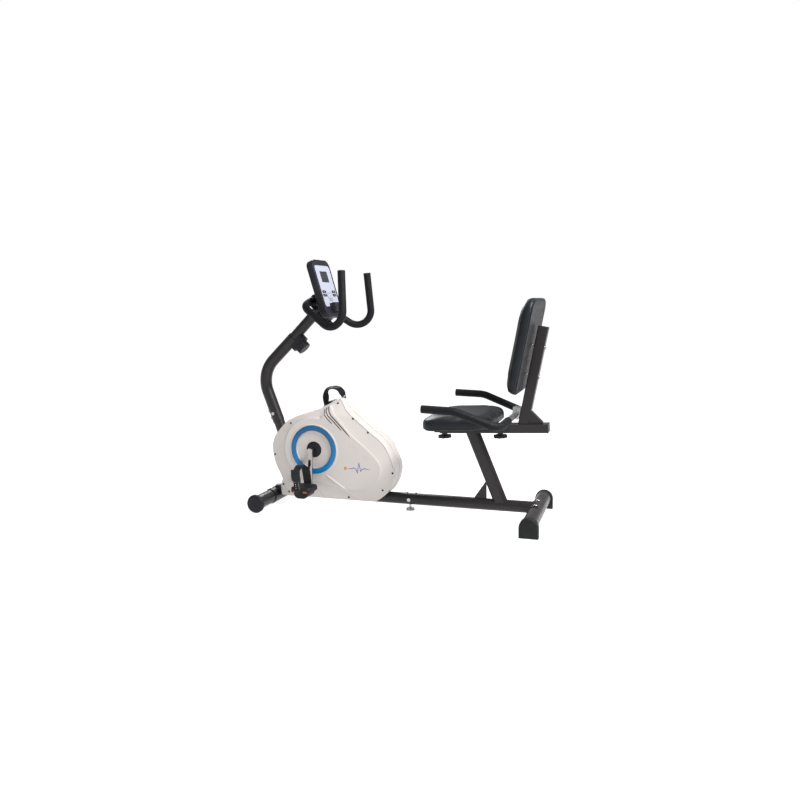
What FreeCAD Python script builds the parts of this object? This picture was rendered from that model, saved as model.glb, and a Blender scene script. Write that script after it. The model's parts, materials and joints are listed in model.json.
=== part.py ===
import FreeCAD, Part
import math
import os

# A compact recumbent exercise bike, in millimetres.
# Drawn with X = 0 on the front foot tube, +X to the rear, +Y to the rider's right
# and Z = 0 on the floor. save() moves it so that the origin is the bottom centre.
V = FreeCAD.Vector

# ---- driving dimensions ----
CENTRE_X = 619.2          # middle of the overall length, from the front foot tube

FOOT_TUBE_R = 31.75
TUBE_WALL = 2.0
FRONT_FOOT_Z = 42.0
FRONT_FOOT_HALF = 176.0
WHEEL_R = 42.0
WHEEL_WIDTH = 27.0
REAR_FOOT_X = 1247.0
REAR_FOOT_Z = 50.0
REAR_FOOT_HALF = 209.0

BEAM_R = 25.4
BEAM_Z = 62.8
BEAM_JOINT_X = 719.0      # where the rear beam plugs into the front beam
SPIGOT_LENGTH = 62.0
LEVEL_X = 680.0
LEVEL_TOP = 50.0

CRANK_X = 241.5
CRANK_Z = 280.8
CRANK_LENGTH = 160.0
CRANK_LEAN = 2.5          # degrees, the near pedal a little ahead of straight down
CRANK_ARM_Y = 104.0
AXLE_R = 12.0
STRAP_THICK = 3.0
PEDAL_Y = 163.0
PEDAL_HALF = 46.4
RUN_GAP = 0.06            # radial clearance of every running fit

WHEEL_X = 492.0           # flywheel axle
WHEEL_Z = 215.0
FLYWHEEL_R = 112.0
BELT_Y = 42.0             # middle of the belt
BIG_PULLEY_R = 95.0
SMALL_PULLEY_R = 15.0
BELT_GAP = 0.35
BELT_THICK = 3.5
IDLER_R = 18.0
IDLER_PIVOT = (330.0, 130.0)
IDLER = (381.0, 170.6)
MAGNET_OPEN = 5.0     # degrees that the magnets stand off at the lightest setting

POST_LEAN = 20.0          # degrees forward of upright, lower part of the console post
STUB_R = 25.4
POST_R = 27.4
STEM_R = 24.0
POST_LOW_Z = 395.0
POST_BEND_R = 140.0
POST_CORNER = (-50.4, 621.2)
POST_SEAM = (130.6, 790.4)
STEM_ANGLE = 43.9         # degrees above horizontal, upper part of the console post
STEM_LENGTH = 173.0

# the right half of the handlebar, from its free end to the middle
BAR_HALF = [
    (442.3, 146.5, 1078.0), (456.5, 176.5, 777.0), (237.0, 106.0, 932.0), (246.0, 42.0, 955.0),
]
BAR_BENDS = [66.0, 50.0, 42.0]
BARE_HALF = 32.0          # half width of the middle that the foam leaves bare
HANDLE_TUBE_R = 12.5
FOAM_R = 16.5

CONSOLE_LEAN = -15.9      # degrees, top towards the front
CONSOLE_TOP = (280.3, 1111.2)
CONSOLE_HALF = 88.0
FACE_HALF = 77.0
FACE_LENGTH = 190.0
CONSOLE_LOW = -238.0
CONSOLE_HIGH = 27.0
DISPLAY = (37.0, -78.0, -27.0)     # half width, low edge, high edge
# button centres across and up the face, then their half widths and half heights
BUTTONS = {
    "button_up_left": (-50.0, -122.0, 17.0, 5.5),
    "button_down_left": (-50.0, -138.0, 17.0, 5.5),
    "button_up_right": (50.0, -122.0, 17.0, 5.5),
    "button_down_right": (50.0, -138.0, 17.0, 5.5),
    "button_enter": (0.0, -142.0, 24.0, 10.0),
}
BUTTON_GAP = 0.4

COVER_HALF = 58.0         # half thickness of the flat side
COVER_PANEL = 70.0        # half thickness at the raised panel
COVER_WALL = 2.5
COVER_EDGE_R = 4.0
TAPER_LOW = 440.0         # height where the top end starts to narrow
TAPER_HIGH = 520.0
TAPER_DEPTH = 24.0        # how much each side draws in between those heights
RING_OUT = 111.7
RING_IN = 88.0
# the cover's outline from its front foot, clockwise seen from the rider's left
COVER_OUTLINE = [
    (60, 54), (57, 95), (67, 132), (51, 166), (33, 207), (23, 260), (25, 303), (46, 346), (97, 400),
    (136, 422), (178, 439), (222, 451), (264, 464), (306, 486), (340, 504), (368, 517), (382, 507),
    (405, 469), (442, 436), (522, 369), (565, 336), (592, 304), (612, 261), (629, 210), (623, 158),
    (600, 109), (569, 76), (535, 54),
]
COVER_CURVES = ((0, 2), (2, 12), (12, 15), (15, 27))     # smooth stretches between the outline's corners
# screw centres: X, Z and the height of the face under the head
SCREW_SPOTS = [
    (127, 398, 58.0), (36, 247, 58.0), (73, 106, 58.0), (101, 72, 58.0), (405, 66, 58.0), (571, 109, 58.0),
    (614, 189, 58.0), (507, 368, 58.0), (437, 428, 58.0), (360, 494, 41.5),
]
SCREW_HEAD_R = 4.8
CARRY_ROUTE = [(281, 0, 464), (286, 0, 550), (318, 0, 570), (352, 0, 564), (372, 0, 506)]
CARRY_BENDS = [32, 40, 34]
CARRY_WIDTH = 28.0
CARRY_THICK = 3.2

RAIL_TILT = 2.25          # degrees, rising to the rear
RAIL_HEIGHT = 36.0
RAIL_HALF = 30.0
RAIL_ORIGIN = (973.0, 378.3)     # on the underside of the sliding rail, above the seat post
RAIL_FRONT = -141.5
RAIL_REAR = 318.0
INNER_HALF = RAIL_HALF - 3.0
INNER_LOW = 3.0
INNER_HIGH = RAIL_HEIGHT - 3.0
SLOT_HALF = 21.0
KNOB_FRONT = -128.0
KNOB_REAR = 118.0
SEAT_POST_FOOT = (1113.1, 25.3)
SEAT_POST_LEAN = -21.8    # degrees, top towards the front
SEAT_TRAVEL = (-40.0, 60.0)
SLOT_REACH = 42.0         # how far the slot runs past the seat post at each limit
SEAT_HALF = 200.0
SEAT_START = -197.0
SEAT_LENGTH = 320.0
SEAT_THICK = 68.0
BOARD_INSET = 14.0
BOARD_THICK = 8.0
BACK_LEAN = 11.4
BACK_FOOT = (1190.5, 423.0)
BACK_LOW = 128.0
BACK_HEIGHT = 398.0
BACK_HALF = 192.0
BACK_THICK = 54.0
BACK_GAP = 12.0
BACK_BOLTS = (205.0, 330.0)
# the right half of the side handle bar, from its free end to the back post
SIDE_BAR_HALF = [(827.0, 273.0, 514.0), (960.0, 273.0, 508.6), (1135.7, 251.7, 441.3), (1163.0, 70.0, 468.0)]
SIDE_BAR_BENDS = [120.0, 55.0, 45.0]
SIDE_BARE_HALF = 150.0


# ---- small builders ----
def box(x0, x1, y0, y1, z0, z1):
    return Part.makeBox(x1 - x0, y1 - y0, z1 - z0, V(x0, y0, z0))


def rod(p, q, r):
    p, q = V(*p), V(*q)
    return Part.makeCylinder(r, (q - p).Length, p, q - p)


def rod_y(x, z, y0, y1, r):
    return rod((x, y0, z), (x, y1, z), r)


def ring_y(x, z, y0, y1, r_out, r_in):
    return rod_y(x, z, y0, y1, r_out).cut(rod_y(x, z, y0 - 1, y1 + 1, r_in))


def union(*shapes):
    return shapes[0].multiFuse(list(shapes[1:])).removeSplitter()


def group(*shapes):
    solids = [solid for shape in shapes for solid in shape.Solids]
    return Part.makeCompound(solids)


def mirrored(shape):
    return shape.mirror(V(0, 0, 0), V(0, 1, 0))


def both_sides(shape):
    return group(shape, mirrored(shape))


def outline(points, y):
    corners = [V(x, y, z) for x, z in points]
    return Part.makePolygon(corners + corners[:1])


def plate(points, y0, y1):
    """A flat plate: an outline in X and Z that runs from y0 to y1."""
    return Part.Face(outline(points, y0)).extrude(V(0, y1 - y0, 0))


def leaned(shape, degrees, x, z):
    """Tip a shape's top to the rear by some degrees, then move its origin to x, z."""
    turned = shape.copy()
    turned.rotate(V(0, 0, 0), V(0, 1, 0), degrees)
    turned.translate(V(x, 0, z))
    return turned


def leaned_point(degrees, x, z, lx, ly, lz):
    a = math.radians(degrees)
    return (x + lx * math.cos(a) + lz * math.sin(a), ly, z - lx * math.sin(a) + lz * math.cos(a))


def arc_runs(points, radii):
    """Edges of straight runs joined by tangent arcs of the given radii."""
    points = [V(*p) for p in points]
    edges = []
    start = points[0]
    for i, radius in enumerate(radii, 1):
        back = (points[i - 1] - points[i]).normalize()
        ahead = (points[i + 1] - points[i]).normalize()
        half = back.getAngle(ahead) / 2
        reach = radius / math.tan(half)
        bisector = (back + ahead).normalize()
        p1 = points[i] + back * reach
        p2 = points[i] + ahead * reach
        middle = points[i] + bisector * (radius / math.sin(half) - radius)
        if (p1 - start).Length > 0.001:
            edges.append(Part.LineSegment(start, p1).toShape())
        edges.append(Part.Arc(p1, middle, p2).toShape())
        start = p2
    edges.append(Part.LineSegment(start, points[-1]).toShape())
    return edges


def bent_bar(points, radii, r):
    """A round bar that follows runs and tangent arcs."""
    edges = arc_runs(points, radii)
    first = V(*points[0])
    circle = Part.Wire(Part.makeCircle(r, first, V(*points[1]) - first))
    return Part.Wire(edges).makePipeShell([circle], True, False)


def bent_tube(points, radii, r_out, r_in):
    return bent_bar(points, radii, r_out).cut(bent_bar(points, radii, r_in))


def rounded(shape, radius, axis):
    """Round the straight edges that run along an axis, given as 0, 1 or 2."""
    picked = []
    for edge in shape.Edges:
        if edge.Curve.TypeId != "Part::GeomLine":
            continue
        direction = edge.tangentAt(edge.FirstParameter)
        if abs(direction[axis]) > 0.999:
            picked.append(edge)
    return shape.makeFillet(radius, picked)


def soft_block(length, half_width, height, corner, edge_round):
    """A cushion block on z = 0: rounded corners in plan, then a rounded top edge."""
    block = box(0, length, -half_width, half_width, 0, height)
    block = rounded(block, corner, 2)
    top = [e for e in block.Edges if e.BoundBox.ZMin > height - 0.01]
    return block.makeFillet(edge_round, top)


def stem_point(along, above, y=0.0):
    """A point beside the upper console post: along its axis, and above it to the front."""
    a = math.radians(STEM_ANGLE)
    x = POST_SEAM[0] + along * math.cos(a) - above * math.sin(a)
    z = POST_SEAM[1] + along * math.sin(a) + above * math.cos(a)
    return (x, y, z)


def post_point(z):
    """A point on the axis of the lower console post at height z."""
    x = POST_CORNER[0] + math.tan(math.radians(POST_LEAN)) * (POST_CORNER[1] - z)
    return (x, 0.0, z)


# ---- fasteners ----
def carriage_bolt(x, z_top, y, length):
    slab = box(x - 12, x + 12, y - 12, y + 12, z_top - 2, z_top + 6)
    dome = Part.makeSphere(11, V(x, y, z_top - 6)).common(slab)
    return union(dome, rod((x, y, z_top), (x, y, z_top - length), 4))


def make_frame_bolts():
    front = [carriage_bolt(0, FRONT_FOOT_Z + 34, y, 70) for y in (-45, 45)]
    rear = [carriage_bolt(REAR_FOOT_X, REAR_FOOT_Z + 34, y, 70) for y in (-40, 40)]
    joint = [carriage_bolt(x, BEAM_Z + 25, 0, 30) for x in (664, 706)]
    side = union(rod_y(682, BEAM_Z, -28.5, -25.0, 8), rod_y(682, BEAM_Z, -26, 26, 4),
                 rod_y(682, BEAM_Z, 25.0, 30, 7))
    post = []
    for height in (418.0, 450.0):
        x, y, z = post_point(height)
        a = math.radians(POST_LEAN)
        ahead = (-math.cos(a), 0, -math.sin(a))
        inner = (x + 15 * ahead[0], 0, z + 15 * ahead[2])
        seat = (x + 26.8 * ahead[0], 0, z + 26.8 * ahead[2])
        outer = (x + 32 * ahead[0], 0, z + 32 * ahead[2])
        post.append(union(rod(inner, seat, 4), rod(seat, outer, 7.5)))
    x, y, z = post_point(434.0)
    post.append(union(rod_y(x, z, -26.5, -14, 4), rod_y(x, z, -32, -26.5, 7.5)))
    return group(*front, *rear, *joint, side, *post)


# ---- base frame ----
def saddle(x, z, half, to_rear):
    """A half sleeve that cradles a foot tube."""
    shell = ring_y(x, z, -half, half, FOOT_TUBE_R + 3.5, FOOT_TUBE_R)
    open_side = box(x + 14, x + 60, -half, half, z - 60, z + 60)
    if to_rear:
        open_side = box(x - 60, x - 14, -half, half, z - 60, z + 60)
    return shell.cut(open_side)


def make_main_frame():
    beam = rod((5, 0, BEAM_Z), (BEAM_JOINT_X, 0, BEAM_Z), BEAM_R)
    stub = rod(post_point(BEAM_Z), post_point(468.0), STUB_R)
    column = box(CRANK_X - 20, CRANK_X + 20, -15, 15, 76, CRANK_Z - 10)
    shell = rod_y(CRANK_X, CRANK_Z, -30, 30, 24)
    shelf = box(430, 535, -40, 53.5, 84, 90)
    left_points = [(448, 86), (530, 86), (512, 236), (440, 352), (424, 368), (404, 368), (388, 340),
                   (388, 304)]
    left = plate(left_points, -40, -37)
    right = plate([(455, 86), (528, 86), (510, 234), (474, 234)], 50.5, 53.5)
    magnet_pin = rod_y(400, 322, -38, -2, 5)
    cable_stop = box(404, 416, -38, -14, 346, 360)
    idler_lug = plate([(312, 70), (350, 70), (338, 142), (322, 142)], 20, 26)
    idler_pin = rod_y(330, 130, 24, 35, 5)
    solid = union(beam, stub, saddle(0, FRONT_FOOT_Z, 62, True), column, shell, shelf, left, right,
                  magnet_pin, cable_stop, idler_lug, idler_pin)
    hollows = [
        rod((36, 0, BEAM_Z), (BEAM_JOINT_X + 1, 0, BEAM_Z), BEAM_R - TUBE_WALL),
        rod(post_point(BEAM_Z + 20), post_point(480.0), STUB_R - TUBE_WALL),
        rod_y(0, FRONT_FOOT_Z, -70, 70, FOOT_TUBE_R),
        box(CRANK_X - 17.5, CRANK_X + 17.5, -12.5, 12.5, 90, CRANK_Z - 30),
        rod_y(CRANK_X, CRANK_Z, -31, 31, 20),
        rod_y(WHEEL_X, WHEEL_Z, -60, 60, 8),
        rod((60, 0, 300), (118, 0, 281), 6),
        rod(CABLE_ROUTE[-2], CABLE_ROUTE[-1], CABLE_R),
        rod((LEVEL_X, 0, 10), (LEVEL_X, 0, LEVEL_TOP + 5), 5),
    ]
    for hollow in hollows:
        solid = solid.cut(hollow)
    return solid


def make_rear_frame():
    front_face = BEAM_JOINT_X
    beam = rod((front_face, 0, BEAM_Z), (REAR_FOOT_X - 5, 0, BEAM_Z), BEAM_R)
    spigot = rod((front_face - SPIGOT_LENGTH, 0, BEAM_Z), (front_face, 0, BEAM_Z), BEAM_R - TUBE_WALL)
    beam = union(beam, spigot, saddle(REAR_FOOT_X, REAR_FOOT_Z, 58, False))
    beam = beam.cut(rod((front_face - 70, 0, BEAM_Z), (REAR_FOOT_X - 36, 0, BEAM_Z), BEAM_R - 2 * TUBE_WALL))
    beam = beam.cut(rod_y(REAR_FOOT_X, REAR_FOOT_Z, -70, 70, FOOT_TUBE_R))
    post = box(-29.5, 29.5, -20, 20, 0, 420)
    post = rounded(post, 19, 2)
    core = rounded(box(-27.5, 27.5, -18, 18, -5, 430), 17, 2)
    post = leaned(post.cut(core), SEAT_POST_LEAN, *SEAT_POST_FOOT)
    post = post.cut(box(800, 1200, -40, 40, 0, BEAM_Z + 8))
    post = post.cut(rail_space(-300, 400, -60, 60, INNER_LOW, 120))
    gusset = plate([(1030, 168), (1030, 80), (975, 80), (978, 93)], -3, 3)
    gusset = gusset.cut(leaned(box(-29.4, 29.4, -20, 20, -5, 430), SEAT_POST_LEAN, *SEAT_POST_FOOT))
    rail = rail_space(-163, 107, -INNER_HALF, INNER_HALF, INNER_LOW, INNER_HIGH)
    rail = rail.cut(rail_space(-170, 110, -INNER_HALF + 3, INNER_HALF - 3, INNER_LOW + 3, INNER_HIGH - 3))
    frame = union(post, gusset)
    frame = frame.cut(rod((800, 0, BEAM_Z), (1200, 0, BEAM_Z), BEAM_R - 0.5))
    beam = beam.cut(rod((LEVEL_X, 0, 10), (LEVEL_X, 0, LEVEL_TOP + 5), 5))
    return group(union(beam, frame), rail)


def make_front_stabilizer():
    return tube_y(0, FRONT_FOOT_Z, FRONT_FOOT_HALF, FOOT_TUBE_R, FOOT_TUBE_R - TUBE_WALL)


def make_rear_stabilizer():
    return tube_y(REAR_FOOT_X, REAR_FOOT_Z, REAR_FOOT_HALF, FOOT_TUBE_R, FOOT_TUBE_R - TUBE_WALL)


def tube_y(x, z, half, r_out, r_in):
    return ring_y(x, z, -half, half, r_out, r_in)


def make_tube_plugs():
    half = FRONT_FOOT_HALF
    inner = FOOT_TUBE_R - TUBE_WALL
    plug = union(
        rod_y(0, FRONT_FOOT_Z, half - 26, half, inner),
        rod_y(0, FRONT_FOOT_Z, half, half + 2.5, FOOT_TUBE_R),
        rod_y(0, FRONT_FOOT_Z, half + 2.5, half + WHEEL_WIDTH - 2, 8),
    )
    cap = rail_space(-166, -163, -INNER_HALF, INNER_HALF, INNER_LOW, INNER_HIGH)
    inner_block = rail_space(-163, -145, -INNER_HALF + 3, INNER_HALF - 3, INNER_LOW + 3, INNER_HIGH - 3)
    return group(plug, mirrored(plug), union(cap, inner_block))


def make_transport_wheel():
    """A barrel-shaped wheel with a closed outer face, on the rider's right side."""
    y0 = FRONT_FOOT_HALF + 3.0
    y1 = y0 + WHEEL_WIDTH
    profile = [(y0, 0), (y0, 33), (y0 + 3, 36), (y0 + 7, 36), (y0 + 8, WHEEL_R - 0.6), (y0 + 10, WHEEL_R),
               (y1 - 9, WHEEL_R), (y1 - 3, WHEEL_R - 3), (y1, WHEEL_R - 9), (y1, 0)]
    corners = [V(0, y, FRONT_FOOT_Z + r) for y, r in profile]
    face = Part.Face(Part.makePolygon(corners + corners[:1]))
    wheel = face.revolve(V(0, 0, FRONT_FOOT_Z), V(0, 1, 0), 360)
    bore = rod_y(0, FRONT_FOOT_Z, y0 - 1, FRONT_FOOT_HALF + WHEEL_WIDTH - 1.5, 8 + RUN_GAP)
    return wheel.cut(bore)


def make_rear_feet():
    """D-shaped rubber caps that close the rear foot tube and stand on the floor."""
    y0 = REAR_FOOT_HALF - 2
    y1 = 236
    x = REAR_FOOT_X
    upper = rod_y(x, 44, y0, y1, 39)
    lower = box(x - 39, x + 39, y0, y1, 0, 44)
    cap = union(upper, lower)
    outer_rim = [e for e in cap.Edges if e.BoundBox.YMin > y1 - 0.01]
    cap = cap.makeFillet(5, outer_rim)
    cap = cap.cut(rod_y(x, REAR_FOOT_Z, y0 - 1, REAR_FOOT_HALF, FOOT_TUBE_R))
    plug = rod_y(x, REAR_FOOT_Z, REAR_FOOT_HALF - 25, REAR_FOOT_HALF, FOOT_TUBE_R - TUBE_WALL)
    return both_sides(union(cap, plug))


def make_leveling_foot():
    stem = rod((LEVEL_X, 0, 14), (LEVEL_X, 0, LEVEL_TOP), 5 - RUN_GAP)
    disc = Part.makeCone(20, 17, 9, V(LEVEL_X, 0, 11.5))
    return union(stem, disc)


# ---- console post ----
def post_route(z_low):
    return [post_point(z_low), (POST_CORNER[0], 0.0, POST_CORNER[1]), stem_point(0, 0)]


def make_console_post():
    return bent_tube(post_route(POST_LOW_Z), [POST_BEND_R], POST_R, STUB_R)


def make_console_stem():
    """The thinner upper tube, swaged into the post, with the bracket plate on its end."""
    low = rod(stem_point(-60, 0), stem_point(0, 0), STUB_R)
    high = rod(stem_point(0, 0), stem_point(STEM_LENGTH, 0), STEM_R)
    bracket = rounded(box(-66, 90, -32, 32, 0, 4), 10, 2)
    bracket.rotate(V(0, 0, 0), V(0, 1, 0), 90 - STEM_ANGLE)
    bracket.translate(V(*stem_point(STEM_LENGTH, 0)))
    solid = union(low, high, bracket)
    return solid.cut(rod(stem_point(-70, 0), stem_point(STEM_LENGTH - 4, 0), STEM_R - TUBE_WALL))


def make_tension_saddle():
    """The plastic saddle below the post that carries the tension knob and its cable end."""
    body = rounded(box(-41, 41, -20, 20, -49, -14), 12, 2)
    body.rotate(V(0, 0, 0), V(0, 1, 0), -STEM_ANGLE)
    body.translate(V(*stem_point(0, 0)))
    spindle = rod(stem_point(0, -48), stem_point(0, -66), 4)
    body = union(body, spindle)
    body = body.cut(rod(stem_point(-80, 0), stem_point(0, 0), POST_R))
    body = body.cut(rod(stem_point(0, 0), stem_point(80, 0), STEM_R))
    return body.cut(rod(CABLE_ROUTE[0], CABLE_ROUTE[1], CABLE_R))


def make_tension_knob():
    knob = rod(stem_point(0, -50), stem_point(0, -76), 31.5)
    outer_end = V(*stem_point(0, -76))
    outer_rim = [e for e in knob.Edges if e.Closed and e.CenterOfMass.distanceToPoint(outer_end) < 0.1]
    knob = knob.makeFillet(4, outer_rim)
    for i in range(12):
        a = math.radians(30 * i)
        across = 34.0 * math.cos(a)
        side = 34.0 * math.sin(a)
        groove = rod(stem_point(across, -54, side), stem_point(across, -78, side), 4.5)
        knob = knob.cut(groove)
    return knob.cut(rod(stem_point(0, -49), stem_point(0, -67), 4 + RUN_GAP))


# from the tension knob down inside the post, then through the cover to the magnet bracket
CABLE_R = 2.5
CABLE_ROUTE = [
    stem_point(8, -44), stem_point(-20, -12), stem_point(-75, 4),
    (POST_CORNER[0] + 4.0, 0.0, POST_CORNER[1] - 2.0), (-16.0, 0.0, 521.0), (50.0, 0.0, 346.0),
    (67.5, 0.0, 297.5), (105.0, 0.0, 285.0), (290.0, -6.0, 374.0), (380.0, -24.0, 357.0),
    (416.0, -27.0, 352.5),
]
CABLE_BENDS = [40, 60, 130, 400, 400, 40, 50, 60, 60]


def make_tension_cable():
    return bent_bar(CABLE_ROUTE, CABLE_BENDS, CABLE_R)


# ---- handlebar ----


def bar_route(half, end_inset):
    """The whole route of a symmetric bar from one half, cut short at its free ends."""
    first = V(*half[0])
    run = (V(*half[1]) - first).normalize()
    start = first + run * end_inset
    points = [tuple(start)] + half[1:]
    other = [(x, -y, z) for x, y, z in reversed(points)]
    return points + other


def make_handlebar():
    route = bar_route(BAR_HALF, 3.0)
    return bent_tube(route, BAR_BENDS + BAR_BENDS[::-1], HANDLE_TUBE_R, HANDLE_TUBE_R - TUBE_WALL)


def foam_sleeve(half, bends, gap_half):
    """Foam over a bar, left off around its middle, with a plug in each free end."""
    route = bar_route(half, 0.0)
    foam = bent_bar(route, bends + bends[::-1], FOAM_R)
    inside = bar_route(half, 3.0)
    foam = foam.cut(bent_bar(inside, bends + bends[::-1], HANDLE_TUBE_R))
    middle = V(*half[-1])
    gap = box(middle.x - 60, middle.x + 60, -gap_half, gap_half, middle.z - 60, middle.z + 60)
    foam = foam.cut(gap)
    first = V(*half[0])
    run = (V(*half[1]) - first).normalize()
    plug = rod(tuple(first + run * 3), tuple(first + run * 22), HANDLE_TUBE_R - TUBE_WALL)
    return union(foam, plug, mirrored(plug))


def make_handlebar_grips():
    return foam_sleeve(BAR_HALF, BAR_BENDS, BARE_HALF)


def make_handlebar_clamp():
    """A saddle block and a cap strap that hold the bar on the bracket plate."""
    bar_x, bar_z = BAR_HALF[-1][0], BAR_HALF[-1][2]
    block = rounded(box(-22, 22, -26, 26, 0, 38), 6, 2)
    block.rotate(V(0, 0, 0), V(0, 1, 0), 90 - STEM_ANGLE)
    a = math.radians(STEM_ANGLE)
    along = (bar_x - POST_SEAM[0]) * math.cos(a) + (bar_z - POST_SEAM[1]) * math.sin(a)
    above = -(bar_x - POST_SEAM[0]) * math.sin(a) + (bar_z - POST_SEAM[1]) * math.cos(a)
    block.translate(V(*stem_point(STEM_LENGTH + 4, above)))
    bolts = [rod(stem_point(along + 14, above + s, y), stem_point(along + 26, above + s, y), 5)
             for s in (-15, 15) for y in (-15, 15)]
    return union(block, *bolts).cut(rod_y(bar_x, bar_z, -40, 40, HANDLE_TUBE_R))


# ---- console ----
def console_place(shape):
    return leaned(shape, CONSOLE_LEAN, CONSOLE_TOP[0], CONSOLE_TOP[1])


def console_slab(x0, x1, half, z0, z1, corner):
    return rounded(box(x0, x1, -half, half, z0, z1), corner, 0)


def make_console_back_shell():
    shell = console_slab(-34, -8, CONSOLE_HALF, CONSOLE_LOW, CONSOLE_HIGH, 36)
    rim = [e for e in shell.Edges if e.BoundBox.XMax < -33.9]
    shell = shell.makeFillet(9, rim)
    shell = shell.cut(console_slab(-31, -7, CONSOLE_HALF - 3, CONSOLE_LOW + 3, CONSOLE_HIGH - 3, 33))
    shell = console_place(shell)
    plate_top = [stem_point(STEM_LENGTH + 4, s) for s in (-12, -70)]
    foot = plate([(plate_top[0][0], plate_top[0][2]), (plate_top[1][0], plate_top[1][2]),
                  (336, 888), (324, 936), (296, 934)], -26, 26)
    foot = foot.cut(console_place(box(-30.9, 60, -90, 90, CONSOLE_LOW + 3, 40)))
    foot = foot.cut(console_place(box(-8, 60, -90, 90, CONSOLE_LOW - 60, 40)))
    return union(shell, foot)


def make_console_bezel():
    """The front rim, with the dark block at its lower middle that hides the fixing."""
    rim = console_slab(-8, 1.5, CONSOLE_HALF, CONSOLE_LOW, CONSOLE_HIGH, 36)
    front = [e for e in rim.Edges if e.BoundBox.XMin > 1.4]
    rim = rim.makeFillet(4, front)
    window = console_slab(-9, 3, FACE_HALF, -FACE_LENGTH, 0, 16)
    block = rounded(box(-8, 26, -30, 30, -214, -176), 7, 1)
    rim = union(rim.cut(window), block)
    return console_place(rim)


def button_solid(y, z, half_w, half_h, x0, x1, grow):
    half_w += grow
    half_h += grow
    body = box(x0, x1, y - half_w, y + half_w, z - half_h, z + half_h)
    return rounded(body, min(half_h * 0.9, 5.0 + grow), 0)


def make_console_face():
    face = console_slab(-3, 0, FACE_HALF - 0.2, -FACE_LENGTH + 0.2, -0.2, 15.8)
    face = face.cut(box(-8, 26, -30, 30, -214, -176))
    half, low, high = DISPLAY
    face = face.cut(box(-4, 1, -half, half, low, high))
    for y, z, half_w, half_h in BUTTONS.values():
        face = face.cut(button_solid(y, z, half_w, half_h, -4, 1, BUTTON_GAP))
    return console_place(face)


def make_console_display():
    half, low, high = DISPLAY
    glass = box(-2.5, -0.8, -half, half, low, high)
    panel = box(-7, -3, -half + 4, half - 4, low + 4, high - 4)
    return group(console_place(union(glass, panel, box(-3, -2.5, -half + 4, half - 4, low + 4, high - 4))))


def make_console_board():
    return console_place(box(-13, -11.4, -60, 60, -160, -20))


def make_button(name):
    y, z, half_w, half_h = BUTTONS[name]
    cap = button_solid(y, z, half_w, half_h, -7.5, 1.8, 0)
    return console_place(cap)


# ---- covers ----


def inset_outline(points, inset):
    """Move every point of a clockwise outline inwards by the same wall thickness."""
    moved = []
    for i, point in enumerate(points):
        before = V(point[0] - points[i - 1][0], point[1] - points[i - 1][1]).normalize()
        following = points[(i + 1) % len(points)]
        after = V(following[0] - point[0], following[1] - point[1]).normalize()
        n1 = V(before.y, -before.x)
        n2 = V(after.y, -after.x)
        mitre = (n1 + n2).normalize()
        step = mitre * (inset / mitre.dot(n1))
        moved.append((point[0] + step.x, point[1] + step.y))
    return moved


def cover_face(y, inset):
    """The side outline of the drive cover: front bulge, rising top, long sloping back."""
    points = [V(x, y, z) for x, z in inset_outline(COVER_OUTLINE, inset)]
    edges = []
    for first, last in COVER_CURVES:
        curve = Part.BSplineCurve()
        curve.interpolate(points[first:last + 1])
        edges.append(curve.toShape())
    edges.append(Part.LineSegment(points[-1], points[0]).toShape())
    return Part.Face(Part.Wire(Part.__sortEdges__(edges)))


def beyond_taper(inset):
    """The space outside the cover's top end, which narrows towards the carrying strap."""
    low_y = COVER_HALF - inset
    high_y = low_y - TAPER_DEPTH
    corners = [(low_y, TAPER_LOW), (high_y, TAPER_HIGH), (high_y, TAPER_HIGH + 80), (120, TAPER_HIGH + 80),
               (120, TAPER_LOW)]
    corners = [V(200, y, z) for y, z in corners]
    return Part.Face(Part.makePolygon(corners + corners[:1])).extrude(V(300, 0, 0))


def panel_face(y, shrink):
    """The raised teardrop: the big circle about the crank drawn into the small one behind."""
    big = 136.0 - shrink
    small = 92.0 - shrink
    far_x, far_z = 478.0, 207.0
    return loop_face((CRANK_X, CRANK_Z), big, (far_x, far_z), small, y)


def loop_face(c1, r1, c2, r2, y):
    """The face inside a belt drawn round two circles."""
    dx, dz = c2[0] - c1[0], c2[1] - c1[1]
    length = math.hypot(dx, dz)
    base = math.atan2(dz, dx)
    spread = math.acos((r1 - r2) / length)
    def on(c, r, a):
        return V(c[0] + r * math.cos(a), y, c[1] + r * math.sin(a))
    edges = [
        Part.LineSegment(on(c1, r1, base + spread), on(c2, r2, base + spread)).toShape(),
        Part.Arc(on(c2, r2, base + spread), on(c2, r2, base), on(c2, r2, base - spread)).toShape(),
        Part.LineSegment(on(c2, r2, base - spread), on(c1, r1, base - spread)).toShape(),
        Part.Arc(on(c1, r1, base - spread), on(c1, r1, base + math.pi), on(c1, r1, base + spread)).toShape(),
    ]
    return Part.Face(Part.Wire(edges))


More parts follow.
